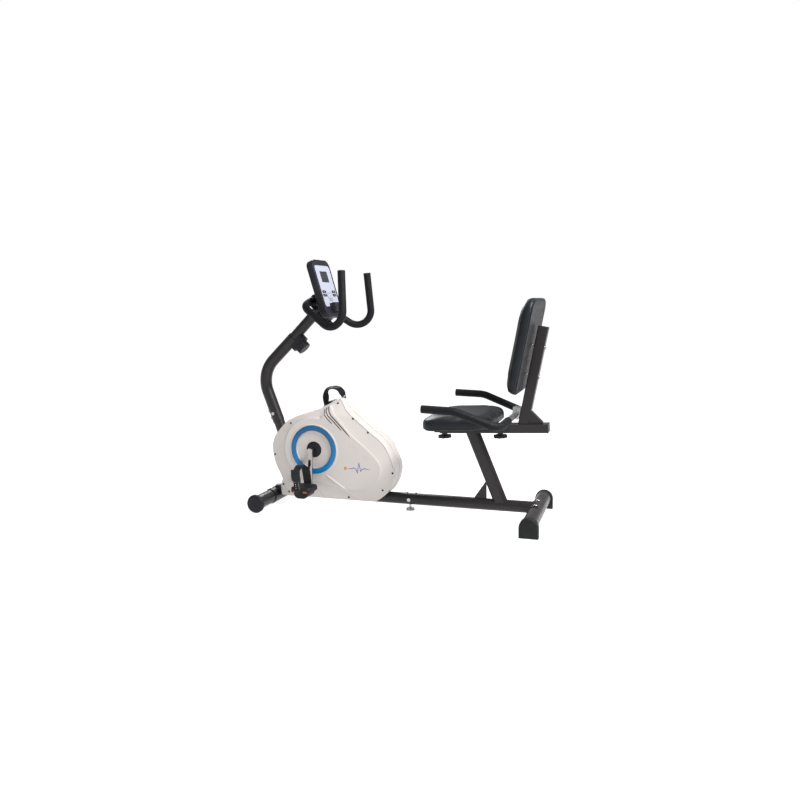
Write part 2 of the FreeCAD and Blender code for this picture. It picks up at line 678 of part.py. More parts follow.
def make_right_cover():
    outer = cover_face(0, 0).extrude(V(0, COVER_HALF, 0))
    rim = [e for e in outer.Edges if e.BoundBox.YMin > COVER_HALF - 0.01]
    outer = outer.makeFillet(COVER_EDGE_R, rim).cut(beyond_taper(0))
    panel = panel_face(COVER_HALF - 8, 0).extrude(V(0, COVER_PANEL - COVER_HALF + 8, 0))
    panel_rim = [e for e in panel.Edges if e.BoundBox.YMin > COVER_PANEL - 0.01]
    outer = outer.fuse(panel.makeFillet(5, panel_rim))
    inside = cover_face(-1, COVER_WALL).extrude(V(0, COVER_HALF - COVER_WALL + 1, 0))
    inside = inside.cut(beyond_taper(COVER_WALL))
    panel_inside = panel_face(COVER_HALF - 12, 5).extrude(V(0, COVER_PANEL - COVER_WALL - COVER_HALF + 12, 0))
    shell = outer.cut(inside).cut(panel_inside)
    shell = shell.cut(rod((0, 0, BEAM_Z), (700, 0, BEAM_Z), BEAM_R + 0.5))
    shell = shell.cut(rod(post_point(200.0), post_point(480.0), POST_R + 0.6))
    shell = shell.cut(rod_y(CRANK_X, CRANK_Z, 40, 90, RING_IN))
    for x, z, y in SCREW_SPOTS:
        shell = shell.cut(rod_y(x, z, y, y + 12, SCREW_HEAD_R + 0.2))
    return shell.cut(make_carry_strap())


def make_left_cover():
    return mirrored(make_right_cover())


def make_cover_screws():
    heads = []
    for x, z, y in SCREW_SPOTS:
        head = Part.makeCone(SCREW_HEAD_R, SCREW_HEAD_R - 1.2, 2.2, V(x, y, z), V(0, 1, 0))
        slots = union(box(x - 3, x + 3, y + 1.2, y + 3, z - 0.5, z + 0.5),
                      box(x - 0.5, x + 0.5, y + 1.2, y + 3, z - 3, z + 3))
        heads.append(head.cut(slots))
    return group(*[both_sides(head) for head in heads])


def make_ring_trims():
    ring = ring_y(CRANK_X, CRANK_Z, COVER_PANEL, COVER_PANEL + 4, RING_OUT, RING_IN)
    rim = [e for e in ring.Edges if e.BoundBox.YMin > COVER_PANEL + 3.9]
    return both_sides(ring.makeFillet(2.5, rim))


def make_round_covers():
    disc = ring_y(CRANK_X, CRANK_Z, 62, 64.5, RING_IN, 37)
    lip = ring_y(CRANK_X, CRANK_Z, 64.5, COVER_PANEL, RING_IN, RING_IN - 2.5)
    return both_sides(union(disc, lip))


def make_carry_strap():
    """A webbing handle arched over the top of the cover, with a pad at each screwed end."""
    edges = arc_runs(CARRY_ROUTE, CARRY_BENDS)
    x, _, z = CARRY_ROUTE[0]
    half_w, half_t = CARRY_WIDTH / 2, CARRY_THICK / 2
    corners = [V(x - half_t, -half_w, z), V(x + half_t, -half_w, z), V(x + half_t, half_w, z),
               V(x - half_t, half_w, z)]
    section = Part.makePolygon(corners + corners[:1])
    return Part.Wire(edges).makePipeShell([section], True, False)


# ---- drive ----
def make_bearing_cups():
    cup = union(ring_y(CRANK_X, CRANK_Z, 18, 30, 20, AXLE_R + RUN_GAP),
                ring_y(CRANK_X, CRANK_Z, 30, 32.5, 24, AXLE_R + RUN_GAP))
    return both_sides(cup)


def crank_arm():
    """The left arm of the one-piece crank, drawn hanging from the axle."""
    arm = rounded(box(-11, 11, -CRANK_ARM_Y - 7, -CRANK_ARM_Y + 7, -CRANK_LENGTH, 0), 5, 2)
    end = rod_y(0, -CRANK_LENGTH, -CRANK_ARM_Y - 8, -CRANK_ARM_Y + 8, 14)
    top = rod_y(0, 0, -CRANK_ARM_Y - 7, -CRANK_ARM_Y + 7, 13)
    spindle = rod_y(0, -CRANK_LENGTH, -PEDAL_Y - 43, -CRANK_ARM_Y, 7)
    axle = rod_y(0, 0, -CRANK_ARM_Y, 0, AXLE_R)
    return union(arm, end, top, spindle, axle)


def make_crank():
    arm = crank_arm()
    other = arm.copy()
    other.rotate(V(0, 0, 0), V(1, 0, 0), 180)
    crank = union(arm, other)
    crank.rotate(V(0, 0, 0), V(0, 1, 0), CRANK_LEAN)
    crank.translate(V(CRANK_X, 0, CRANK_Z))
    return crank


def make_hub_caps():
    cap = ring_y(CRANK_X, CRANK_Z, 60, 66, 35.5, AXLE_R)
    cone = Part.makeCone(35.5, 20, 6, V(CRANK_X, 66, CRANK_Z), V(0, 1, 0))
    cone = cone.cut(rod_y(CRANK_X, CRANK_Z, 50, 90, AXLE_R))
    return both_sides(union(cap, cone))


def pulley(x, z, r, bore, hub):
    """A belt pulley with a flange each side of the belt."""
    y0, y1 = BELT_Y - 7, BELT_Y + 7
    rim = rod_y(x, z, y0, y1, r)
    flanges = union(rod_y(x, z, y0, y0 + 1.3, r + 2.5), rod_y(x, z, y1 - 1.3, y1, r + 2.5))
    body = union(rim, flanges)
    if r > 60:
        body = body.cut(ring_y(x, z, y0 - 1, BELT_Y - 2.5, r - 8, hub))
        body = body.cut(ring_y(x, z, BELT_Y + 2.5, y1 + 1, r - 8, hub))
        for i in range(6):
            a = math.radians(60 * i)
            body = body.cut(rod_y(x + 57 * math.cos(a), z + 57 * math.sin(a), y0, y1, 17))
    return body.cut(rod_y(x, z, y0 - 1, y1 + 1, bore))


def make_drive_pulley():
    return pulley(CRANK_X, CRANK_Z, BIG_PULLEY_R, AXLE_R, 24)


def make_flywheel_pulley():
    return pulley(WHEEL_X, WHEEL_Z, SMALL_PULLEY_R, 8 + RUN_GAP, 0)


def make_flywheel():
    rim = ring_y(WHEEL_X, WHEEL_Z, -32, -6, FLYWHEEL_R, 84)
    web = rod_y(WHEEL_X, WHEEL_Z, -23, -15, 86)
    hub = rod_y(WHEEL_X, WHEEL_Z, -35, BELT_Y - 7, 20)
    body = union(rim, web, hub)
    for i in range(5):
        a = math.radians(72 * i)
        body = body.cut(rod_y(WHEEL_X + 52 * math.cos(a), WHEEL_Z + 52 * math.sin(a), -24, -14, 16))
    return body.cut(rod_y(WHEEL_X, WHEEL_Z, -36, 60, 8 + RUN_GAP))


def make_flywheel_axle():
    axle = rod_y(WHEEL_X, WHEEL_Z, -50, 63, 8)
    nuts = union(rod_y(WHEEL_X, WHEEL_Z, -47, -40, 12), rod_y(WHEEL_X, WHEEL_Z, 53.5, 60.5, 12))
    return union(axle, nuts)


def make_drive_belt():
    r1, r2 = BIG_PULLEY_R + BELT_GAP, SMALL_PULLEY_R + BELT_GAP
    c1, c2 = (CRANK_X, CRANK_Z), (WHEEL_X, WHEEL_Z)
    outer = loop_face(c1, r1 + BELT_THICK, c2, r2 + BELT_THICK, BELT_Y - 5).extrude(V(0, 10, 0))
    inner = loop_face(c1, r1, c2, r2, BELT_Y - 6).extrude(V(0, 12, 0))
    return outer.cut(inner)


def make_idler_arm():
    arm = loop_face(IDLER_PIVOT, 11, IDLER, 10, 29.5).extrude(V(0, 4.5, 0))
    pin = rod_y(IDLER[0], IDLER[1], 30, 50, 5)
    arm = arm.cut(rod_y(IDLER_PIVOT[0], IDLER_PIVOT[1], 20, 40, 5 + RUN_GAP))
    return union(arm, pin)


def make_idler_pulley():
    wheel = rod_y(IDLER[0], IDLER[1], 36, 48, IDLER_R)
    return wheel.cut(rod_y(IDLER[0], IDLER[1], 30, 55, 5 + RUN_GAP))


def arc_band(r0, r1, a0, a1, y0, y1):
    """Part of a ring about the flywheel axle, between two angles."""
    band = ring_y(WHEEL_X, WHEEL_Z, y0, y1, r1, r0)
    reach = r1 * 1.6
    wedge = [(WHEEL_X, WHEEL_Z)]
    for step in range(5):
        a = math.radians(a0 + (a1 - a0) * step / 4)
        wedge.append((WHEEL_X + reach * math.cos(a), WHEEL_Z + reach * math.sin(a)))
    return band.common(plate(wedge, y0 - 1, y1 + 1))


def make_magnet_bracket():
    """The yoke over the flywheel rim, with four magnets, on its pivot at the front."""
    web = arc_band(120, 123, 72, 128, -35, -3)
    cheeks = [arc_band(104, 121, 74, 118, -35, -33), arc_band(104, 121, 74, 118, -5, -3)]
    hub = rod_y(400, 322, -36, -3, 9)
    arm = plate([(396, 329), (404, 329), (423, 316), (417, 305.5), (399, 314)], -35, -3)
    body = union(web, *cheeks, hub, arm)
    body = body.cut(rod_y(400, 322, -40, 0, 5 + RUN_GAP))
    magnets = [arc_band(114.5, 120, 76 + 11 * i, 84 + 11 * i, -31, -7) for i in range(4)]
    bracket = group(body, *magnets)
    bracket.rotate(V(400, 0, 322), V(0, 1, 0), -MAGNET_OPEN)
    return bracket


# ---- pedals ----
def pedal_body():
    """The left pedal about its spindle: a rounded platform with a weighted keel."""
    y0, y1 = -PEDAL_Y - PEDAL_HALF, -PEDAL_Y + PEDAL_HALF
    platform = rounded(box(-50, 50, y0, y1, -10, 13), 22, 2)
    rim = [e for e in platform.Edges if e.BoundBox.ZMin > 12.9 or e.BoundBox.ZMax < -9.9]
    platform = platform.makeFillet(6, rim)
    keel = rounded(box(-34, 34, -PEDAL_Y - 36, -PEDAL_Y + 36, -37, 15), 24, 1)
    keel = keel.cut(box(-40, 40, -PEDAL_Y - 40, -PEDAL_Y + 40, -5, 20))
    return union(platform, keel)


def make_pedal_left_at_origin():
    body = pedal_body()
    bore = rod_y(0, 0, -PEDAL_Y - 43.5, -PEDAL_Y + 60, 7 + RUN_GAP)
    return body.cut(bore)


def pedal_strap_at_origin():
    """A rubber toe strap: an arch over the platform, wider at its top pad."""
    side = PEDAL_HALF + STRAP_THICK / 2
    route = [(-4, -PEDAL_Y - side, -16), (-16, -PEDAL_Y - side, 84), (-16, -PEDAL_Y - 10, 106),
             (-16, -PEDAL_Y + 10, 106), (-16, -PEDAL_Y + side, 84), (-4, -PEDAL_Y + side, -16)]
    edges = arc_runs(route, [26, 26, 26, 26])
    start = V(*route[0])
    half = STRAP_THICK / 2
    section = Part.makePolygon([start + V(-17, -half, 0), start + V(17, -half, 0), start + V(17, half, 0),
                                start + V(-17, half, 0), start + V(-17, -half, 0)])
    strap = Part.Wire(edges).makePipeShell([section], True, False)
    return strap.cut(rod_y(0, 0, -PEDAL_Y, -PEDAL_Y + 80, 8.5))


def pedal_place(shape, right):
    a = math.radians(CRANK_LEAN)
    dx, dz = -CRANK_LENGTH * math.sin(a), -CRANK_LENGTH * math.cos(a)
    placed = shape.copy()
    if right:
        placed.rotate(V(0, 0, 0), V(1, 0, 0), 180)
        dx, dz = -dx, -dz
    placed.translate(V(CRANK_X + dx, 0, CRANK_Z + dz))
    return placed


# ---- seat ----


def rail_space(x0, x1, y0, y1, z0, z1):
    """A box in the tilted frame of the seat rail."""
    return leaned(box(x0, x1, y0, y1, z0, z1), -RAIL_TILT, *RAIL_ORIGIN)


def rail_point(x, y, z):
    return leaned_point(-RAIL_TILT, RAIL_ORIGIN[0], RAIL_ORIGIN[1], x, y, z)


def back_place(shape):
    return leaned(shape, BACK_LEAN, *BACK_FOOT)


def back_point(x, y, z):
    return leaned_point(BACK_LEAN, *BACK_FOOT, x, y, z)


def make_seat_carriage():
    sleeve = rail_space(RAIL_FRONT, RAIL_REAR, -RAIL_HALF, RAIL_HALF, 0, RAIL_HEIGHT)
    inside_gap = 0.4
    space = rail_space(RAIL_FRONT - 5, RAIL_REAR + 5, -INNER_HALF - inside_gap, INNER_HALF + inside_gap,
                       INNER_LOW - inside_gap, INNER_HIGH + inside_gap)
    slot_front = -SEAT_TRAVEL[1] - SLOT_REACH
    slot_rear = -SEAT_TRAVEL[0] + SLOT_REACH
    slot = rail_space(slot_front, slot_rear, -SLOT_HALF, SLOT_HALF, -5, INNER_LOW)
    post = back_place(rounded(box(-21.5, 21.5, -20, 20, -20, 414), 4, 2))
    hollow = back_place(rounded(box(-19.5, 19.5, -18, 18, -30, 411), 3, 2))
    post = post.cut(hollow)
    post = post.cut(rail_space(100, 400, -60, 60, -60, RAIL_HEIGHT - 0.5))
    gusset = plate([(1209, 488), (1214, 488), (1271, 432), (1269, 424), (1195, 421)], -14, 14)
    gusset = gusset.cut(plate([(1212, 482), (1262, 431), (1200, 429)], -11, 11))
    gusset = gusset.cut(back_place(box(-21.4, 21.4, -20, 20, -20, 414)))
    body = union(sleeve, post, gusset)
    body = body.cut(space).cut(slot)
    nuts = []
    for x in (KNOB_FRONT, KNOB_REAR):
        low = rail_point(x, 0, -8)
        high = rail_point(x, 0, 2.5)
        nuts.append(rod(low, high, 12))
    body = union(body, *nuts)
    for x in (KNOB_FRONT, KNOB_REAR):
        body = body.cut(rod(rail_point(x, 0, -10), rail_point(x, 0, 4), 5 + RUN_GAP))
    return body


def make_seat_knob(x):
    stem = rod(rail_point(x, 0, -14), rail_point(x, 0, 1.5), 5)
    disc = rod(rail_point(x, 0, -24), rail_point(x, 0, -12), 29)
    knob = union(stem, disc)
    for i in range(8):
        a = math.radians(45 * i + 22.5)
        dx, dy = 33 * math.cos(a), 33 * math.sin(a)
        knob = knob.cut(rod(rail_point(x + dx, dy, -26), rail_point(x + dx, dy, -10), 9))
    return knob


def make_rail_rear_cap():
    cap = rounded(box(RAIL_REAR, RAIL_REAR + 5, -RAIL_HALF - 1, RAIL_HALF + 1, -1, RAIL_HEIGHT + 1), 3, 0)
    block = box(RAIL_REAR - 16, RAIL_REAR, -INNER_HALF, INNER_HALF, INNER_LOW, INNER_HIGH)
    return leaned(union(cap, block), -RAIL_TILT, *RAIL_ORIGIN)


def board_space(length, half_width, height):
    """The recess under a cushion block that takes its board."""
    half = half_width - BOARD_INSET
    return box(BOARD_INSET, length - BOARD_INSET, -half, half, 0, height)


def make_seat_cushion():
    block = soft_block(SEAT_LENGTH, SEAT_HALF, SEAT_THICK, 70, 14)
    block = block.cut(board_space(SEAT_LENGTH, SEAT_HALF, BOARD_THICK))
    block.translate(V(SEAT_START, 0, RAIL_HEIGHT))
    return leaned(block, -RAIL_TILT, *RAIL_ORIGIN)


def stand_against_post(shape):
    """Turn a piece drawn lying down so that it stands ahead of the back post."""
    shape.rotate(V(0, 0, 0), V(0, 1, 0), -90)
    shape.translate(V(-21.5 - BACK_GAP, 0, BACK_LOW))
    return back_place(shape)


def make_backrest_cushion():
    block = soft_block(BACK_HEIGHT, BACK_HALF, BACK_THICK, 60, 14)
    return stand_against_post(block.cut(board_space(BACK_HEIGHT, BACK_HALF, BOARD_THICK)))


def make_cushion_boards():
    """The seat's plywood board, and the back's board with its two spacer blocks."""
    seat = board_space(SEAT_LENGTH, SEAT_HALF, BOARD_THICK)
    seat.translate(V(SEAT_START, 0, RAIL_HEIGHT))
    seat = leaned(seat, -RAIL_TILT, *RAIL_ORIGIN)
    back = stand_against_post(board_space(BACK_HEIGHT, BACK_HALF, BOARD_THICK))
    spacers = [back_place(box(-21.5 - BACK_GAP, -21.5, -18, 18, z - 20, z + 20)) for z in BACK_BOLTS]
    return group(seat, union(back, *spacers))


def make_seat_bolts():
    bolts = []
    for z in BACK_BOLTS:
        head = rod(back_point(21.5, 0, z), back_point(26.5, 0, z), 8)
        shank = rod(back_point(-36, 0, z), back_point(21.5, 0, z), 4)
        bolts.append(union(head, shank))
    for x in (-90.0, 60.0):
        for y in (-20.0, 20.0):
            bolts.append(rod(rail_point(x, y, INNER_HIGH + 0.4), rail_point(x, y, RAIL_HEIGHT + 6), 3))
    return group(*bolts)


def make_side_handle_bar():
    half = SIDE_BAR_HALF + [(1161.0, 12.0, 468.0)]
    route = bar_route(half, 3.0)
    bends = SIDE_BAR_BENDS
    edges = route[:4] + route[6:]
    return bent_tube(edges, bends + bends[::-1], HANDLE_TUBE_R, HANDLE_TUBE_R - TUBE_WALL)


def make_side_handle_grips():
    return foam_sleeve(SIDE_BAR_HALF, SIDE_BAR_BENDS, SIDE_BARE_HALF)


def make_handle_clamp():
    """A U strap that holds the side handle bar against the back post."""
    x, z = SIDE_BAR_HALF[-1][0], SIDE_BAR_HALF[-1][2]
    block = rounded(box(-17, 14, -24, 24, -24, 24), 5, 1)
    block = leaned(block, BACK_LEAN, x, z)
    block = block.cut(rod_y(x, z, -60, 60, HANDLE_TUBE_R))
    heads = []
    for dz in (-18, 18):
        p = leaned_point(BACK_LEAN, x, z, -17, 0, dz)
        q = leaned_point(BACK_LEAN, x, z, -21, 0, dz)
        heads.append(rod(p, q, 6))
    return union(block, *heads)


# ---- write every node ----
def save(name, shape):
    moved = shape.copy()
    moved.translate(V(-CENTRE_X, 0, 0))
    moved.exportStep("parts/" + name + ".step")


def build_parts():
    bolts = make_frame_bolts()
    seat_bolts = make_seat_bolts()
    wheel = make_transport_wheel()
    pedal = make_pedal_left_at_origin()
    strap = pedal_strap_at_origin()
    parts = {
        "main_frame": make_main_frame().cut(bolts),
        "rear_frame": make_rear_frame().cut(bolts),
        "front_stabilizer": make_front_stabilizer().cut(bolts),
        "rear_stabilizer": make_rear_stabilizer().cut(bolts),
        "tube_plugs": make_tube_plugs(),
        "rear_feet": make_rear_feet(),
        "frame_bolts": bolts,
        "leveling_foot": make_leveling_foot(),
        "transport_wheel_right": wheel,
        "transport_wheel_left": mirrored(wheel),
        "console_stem": make_console_stem(),
        "tension_saddle": make_tension_saddle(),
        "tension_knob": make_tension_knob(),
        "tension_cable": make_tension_cable(),
        "handlebar": make_handlebar(),
        "handlebar_grips": make_handlebar_grips(),
        "handlebar_clamp": make_handlebar_clamp(),
        "console_back_shell": make_console_back_shell(),
        "console_bezel": make_console_bezel(),
        "console_face": make_console_face(),
        "console_display": make_console_display(),
        "console_board": make_console_board(),
        "right_cover": make_right_cover(),
        "left_cover": make_left_cover(),
        "cover_screws": make_cover_screws(),
        "ring_trims": make_ring_trims(),
        "round_covers": make_round_covers(),
        "carry_strap": make_carry_strap(),
        "bearing_cups": make_bearing_cups(),
        "crank": make_crank(),
        "hub_caps": make_hub_caps(),
        "drive_pulley": make_drive_pulley(),
        "flywheel_pulley": make_flywheel_pulley(),
        "flywheel": make_flywheel(),
        "flywheel_axle": make_flywheel_axle(),
        "drive_belt": make_drive_belt(),
        "idler_arm": make_idler_arm(),
        "idler_pulley": make_idler_pulley(),
        "magnet_bracket": make_magnet_bracket(),
        "pedal_left": pedal_place(pedal, False),
        "pedal_right": pedal_place(pedal, True),
        "pedal_strap_left": pedal_place(strap, False),
        "pedal_strap_right": pedal_place(strap, True),
        "seat_carriage": make_seat_carriage().cut(seat_bolts),
        "seat_knob_front": make_seat_knob(KNOB_FRONT),
        "seat_knob_rear": make_seat_knob(KNOB_REAR),
        "rail_rear_cap": make_rail_rear_cap(),
        "seat_cushion": make_seat_cushion(),
        "backrest_cushion": make_backrest_cushion(),
        "cushion_boards": make_cushion_boards().cut(seat_bolts),
        "seat_bolts": seat_bolts,
        "side_handle_bar": make_side_handle_bar(),
        "side_handle_grips": make_side_handle_grips(),
        "handle_clamp": make_handle_clamp(),
    }
    cable = parts["tension_cable"]
    parts["console_post"] = make_console_post().cut(bolts).cut(cable).cut(parts["console_stem"])
    parts["main_frame"] = parts["main_frame"].cut(cable)
    parts["console_stem"] = parts["console_stem"].cut(cable)
    for name in BUTTONS:
        parts[name] = make_button(name)
    return parts


os.makedirs("parts", exist_ok=True)
for node, solid_shape in build_parts().items():
    save(node, solid_shape)
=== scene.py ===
import json
import math
from collections import namedtuple

import bmesh
import bpy
import numpy as np
from mathutils import Matrix, Vector
from mathutils.bvhtree import BVHTree


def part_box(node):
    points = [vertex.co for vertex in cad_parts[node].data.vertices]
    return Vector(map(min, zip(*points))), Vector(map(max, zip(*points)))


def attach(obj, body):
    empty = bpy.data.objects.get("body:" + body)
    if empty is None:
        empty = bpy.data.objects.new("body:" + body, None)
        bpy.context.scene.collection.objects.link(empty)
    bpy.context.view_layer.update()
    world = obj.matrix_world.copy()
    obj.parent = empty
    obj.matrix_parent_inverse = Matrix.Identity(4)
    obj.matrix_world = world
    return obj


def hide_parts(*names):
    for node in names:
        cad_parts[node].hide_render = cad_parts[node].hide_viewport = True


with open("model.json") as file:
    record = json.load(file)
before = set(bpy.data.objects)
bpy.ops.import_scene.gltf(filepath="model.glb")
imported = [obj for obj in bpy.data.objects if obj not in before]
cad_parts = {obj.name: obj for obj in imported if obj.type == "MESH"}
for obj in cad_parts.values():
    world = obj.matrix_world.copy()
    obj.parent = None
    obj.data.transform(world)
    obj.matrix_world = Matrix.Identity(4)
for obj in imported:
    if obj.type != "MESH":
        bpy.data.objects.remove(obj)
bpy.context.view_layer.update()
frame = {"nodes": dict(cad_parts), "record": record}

# A compact recumbent exercise bike. Metres, +X to the seat, +Y to the rider's right, +Z up.
# Shapes are drawn in millimetres from the front foot tube's axis, and at() places them.
MM = 0.001
WELD_GAP = 1e-5
SLOT_OF = {row["node"]: row["material_slot"] for row in frame["record"]["subparts"]}
FRONT_LOW, FRONT_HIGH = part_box("front_stabilizer")
FRONT_X = ((FRONT_LOW + FRONT_HIGH) / 2).x


def at(x, y, z):
    return Vector((FRONT_X + x * MM, y * MM, z * MM))


# ---- mesh helpers
def shade_smooth(mesh):
    for polygon in mesh.polygons:
        polygon.use_smooth = True


def put(name, data):
    """A new object in the scene."""
    thing = bpy.data.objects.new(name, data)
    bpy.context.scene.collection.objects.link(thing)
    return thing


def mesh_piece(name, verts, faces):
    mesh = bpy.data.meshes.new(name)
    mesh.from_pydata([tuple(v) for v in verts], [], faces)
    mesh.validate()
    mesh.update()
    shade_smooth(mesh)
    return put(name, mesh)


def dress(piece, slot, body, *replaced, material=None):
    """Give a finished piece its material, the slot's own unless another is given, and the body that it rides
    on.
    """
    piece.data.materials.clear()
    piece.data.materials.append(material or MATERIALS[slot])
    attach(piece, body)
    if replaced:
        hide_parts(*replaced)


def apply_modifiers(piece):
    graph = bpy.context.evaluated_depsgraph_get()
    mesh = bpy.data.meshes.new_from_object(piece.evaluated_get(graph))
    piece.modifiers.clear()
    old = piece.data
    piece.data = mesh
    bpy.data.meshes.remove(old)
    shade_smooth(mesh)
    return piece


def weld(piece):
    """Join vertices that lie on each other, and turn all the faces outward."""
    mesh = bmesh.new()
    mesh.from_mesh(piece.data)
    bmesh.ops.remove_doubles(mesh, verts=mesh.verts, dist=WELD_GAP)
    bmesh.ops.recalc_face_normals(mesh, faces=mesh.faces)
    mesh.to_mesh(piece.data)
    mesh.free()
    return piece


def thickened(piece, thickness, offset=0.0):
    """Give a sheet a wall thickness in millimetres."""
    wall = piece.modifiers.new("wall", "SOLIDIFY")
    wall.thickness = thickness * MM
    wall.offset = offset
    return apply_modifiers(piece)


def surface_of(piece):
    return BVHTree.FromObject(piece, bpy.context.evaluated_depsgraph_get())


def grid_faces(rows, columns, wrap):
    """Quads over a grid of points that is stored row by row."""
    faces = []
    for i in range(rows - 1):
        here, there = i * columns, (i + 1) * columns
        for j in range(columns if wrap else columns - 1):
            k = (j + 1) % columns
            faces.append((here + j, here + k, there + k, there + j))
    return faces


def end_caps(rows, columns):
    """The two faces that close a grid of rings, at its first row and at its last."""
    return [tuple(range(columns))[::-1], tuple((rows - 1) * columns + k for k in range(columns))]


def ring_faces(rows, columns):
    return grid_faces(rows, columns, True) + end_caps(rows, columns)


def strip_faces(rows):
    """The faces of a raised strip that has four points in each row."""
    return grid_faces(rows, 4, False) + [face[::-1] for face in end_caps(rows, 4)]


def turn_angles(steps):
    return [2 * math.pi * k / steps for k in range(steps)]


def spline_point(p0, p1, p2, p3, t):
    """The place a share t of the way from p1 to p2 on a Catmull-Rom curve."""
    return 0.5 * (2 * p1 + (p2 - p0) * t + (2 * p0 - 5 * p1 + 4 * p2 - p3) * t * t
                  + (3 * p1 - p0 - 3 * p2 + p3) * t ** 3)


def smooth_line(points, per_span, closed=False):
    """A curve through a few points."""
    points = [Vector(p) for p in points]
    count = len(points)
    line = []
    for i in range(count if closed else count - 1):
        places = (i - 1, i, i + 1, i + 2)
        p0, p1, p2, p3 = (points[k % count if closed else min(max(k, 0), count - 1)] for k in places)
        line += [spline_point(p0, p1, p2, p3, step / per_span) for step in range(per_span)]
    if not closed:
        line.append(points[-1])
    return line


def smooth_outline(points, per_span, closed=False):
    """The same curve for flat points, given and returned as pairs."""
    return [(p.x, p.y) for p in smooth_line([(x, z, 0) for x, z in points], per_span, closed)]


def tube_piece(name, line, radius, sides, closed=False):
    """A round tube along a line of points, kept from twisting by carrying its frame along."""
    line = [Vector(p) for p in line]
    count = len(line)
    verts = []
    normal = None
    for i in range(count):
        before = line[i - 1] if (closed or i > 0) else line[0]
        after = line[(i + 1) % count] if (closed or i < count - 1) else line[-1]
        along = (after - before).normalized()
        if normal is None:
            normal = along.orthogonal().normalized()
        normal = (normal - along * normal.dot(along)).normalized()
        side = along.cross(normal)
        for a in turn_angles(sides):
            verts.append(line[i] + (normal * math.cos(a) + side * math.sin(a)) * radius)
    if closed:
        faces = [tuple(v % len(verts) for v in face) for face in grid_faces(count + 1, sides, True)]
    else:
        faces = ring_faces(count, sides)
    return mesh_piece(name, verts, faces)


def axis_frame(axis):
    """The unit axis and two directions square to it and to each other."""
    axis = Vector(axis).normalized()
    u = axis.orthogonal().normalized()
    return axis, u, axis.cross(u)


def turned(name, profile, centre, axis, steps, capped=True):
    """A piece turned on a lathe: (distance along the axis, radius) points in millimetres."""
    axis, u, w = axis_frame(axis)
    verts = []
    for along, radius in profile:
        for a in turn_angles(steps):
            verts.append(centre + axis * along * MM + (u * math.cos(a) + w * math.sin(a)) * radius * MM)
    faces = ring_faces(len(profile), steps) if capped else grid_faces(len(profile), steps, True)
    return weld(mesh_piece(name, verts, faces))


def joined(name, pieces):
    """Join several mesh pieces into one."""
    mesh = bmesh.new()
    for piece in pieces:
        part = piece.data.copy()
        part.transform(piece.matrix_world)
        mesh.from_mesh(part)
        bpy.data.meshes.remove(part)
    data = bpy.data.meshes.new(name)
    mesh.to_mesh(data)
    mesh.free()
    for piece in pieces:
        bpy.data.objects.remove(piece)
    shade_smooth(data)
    return put(name, data)


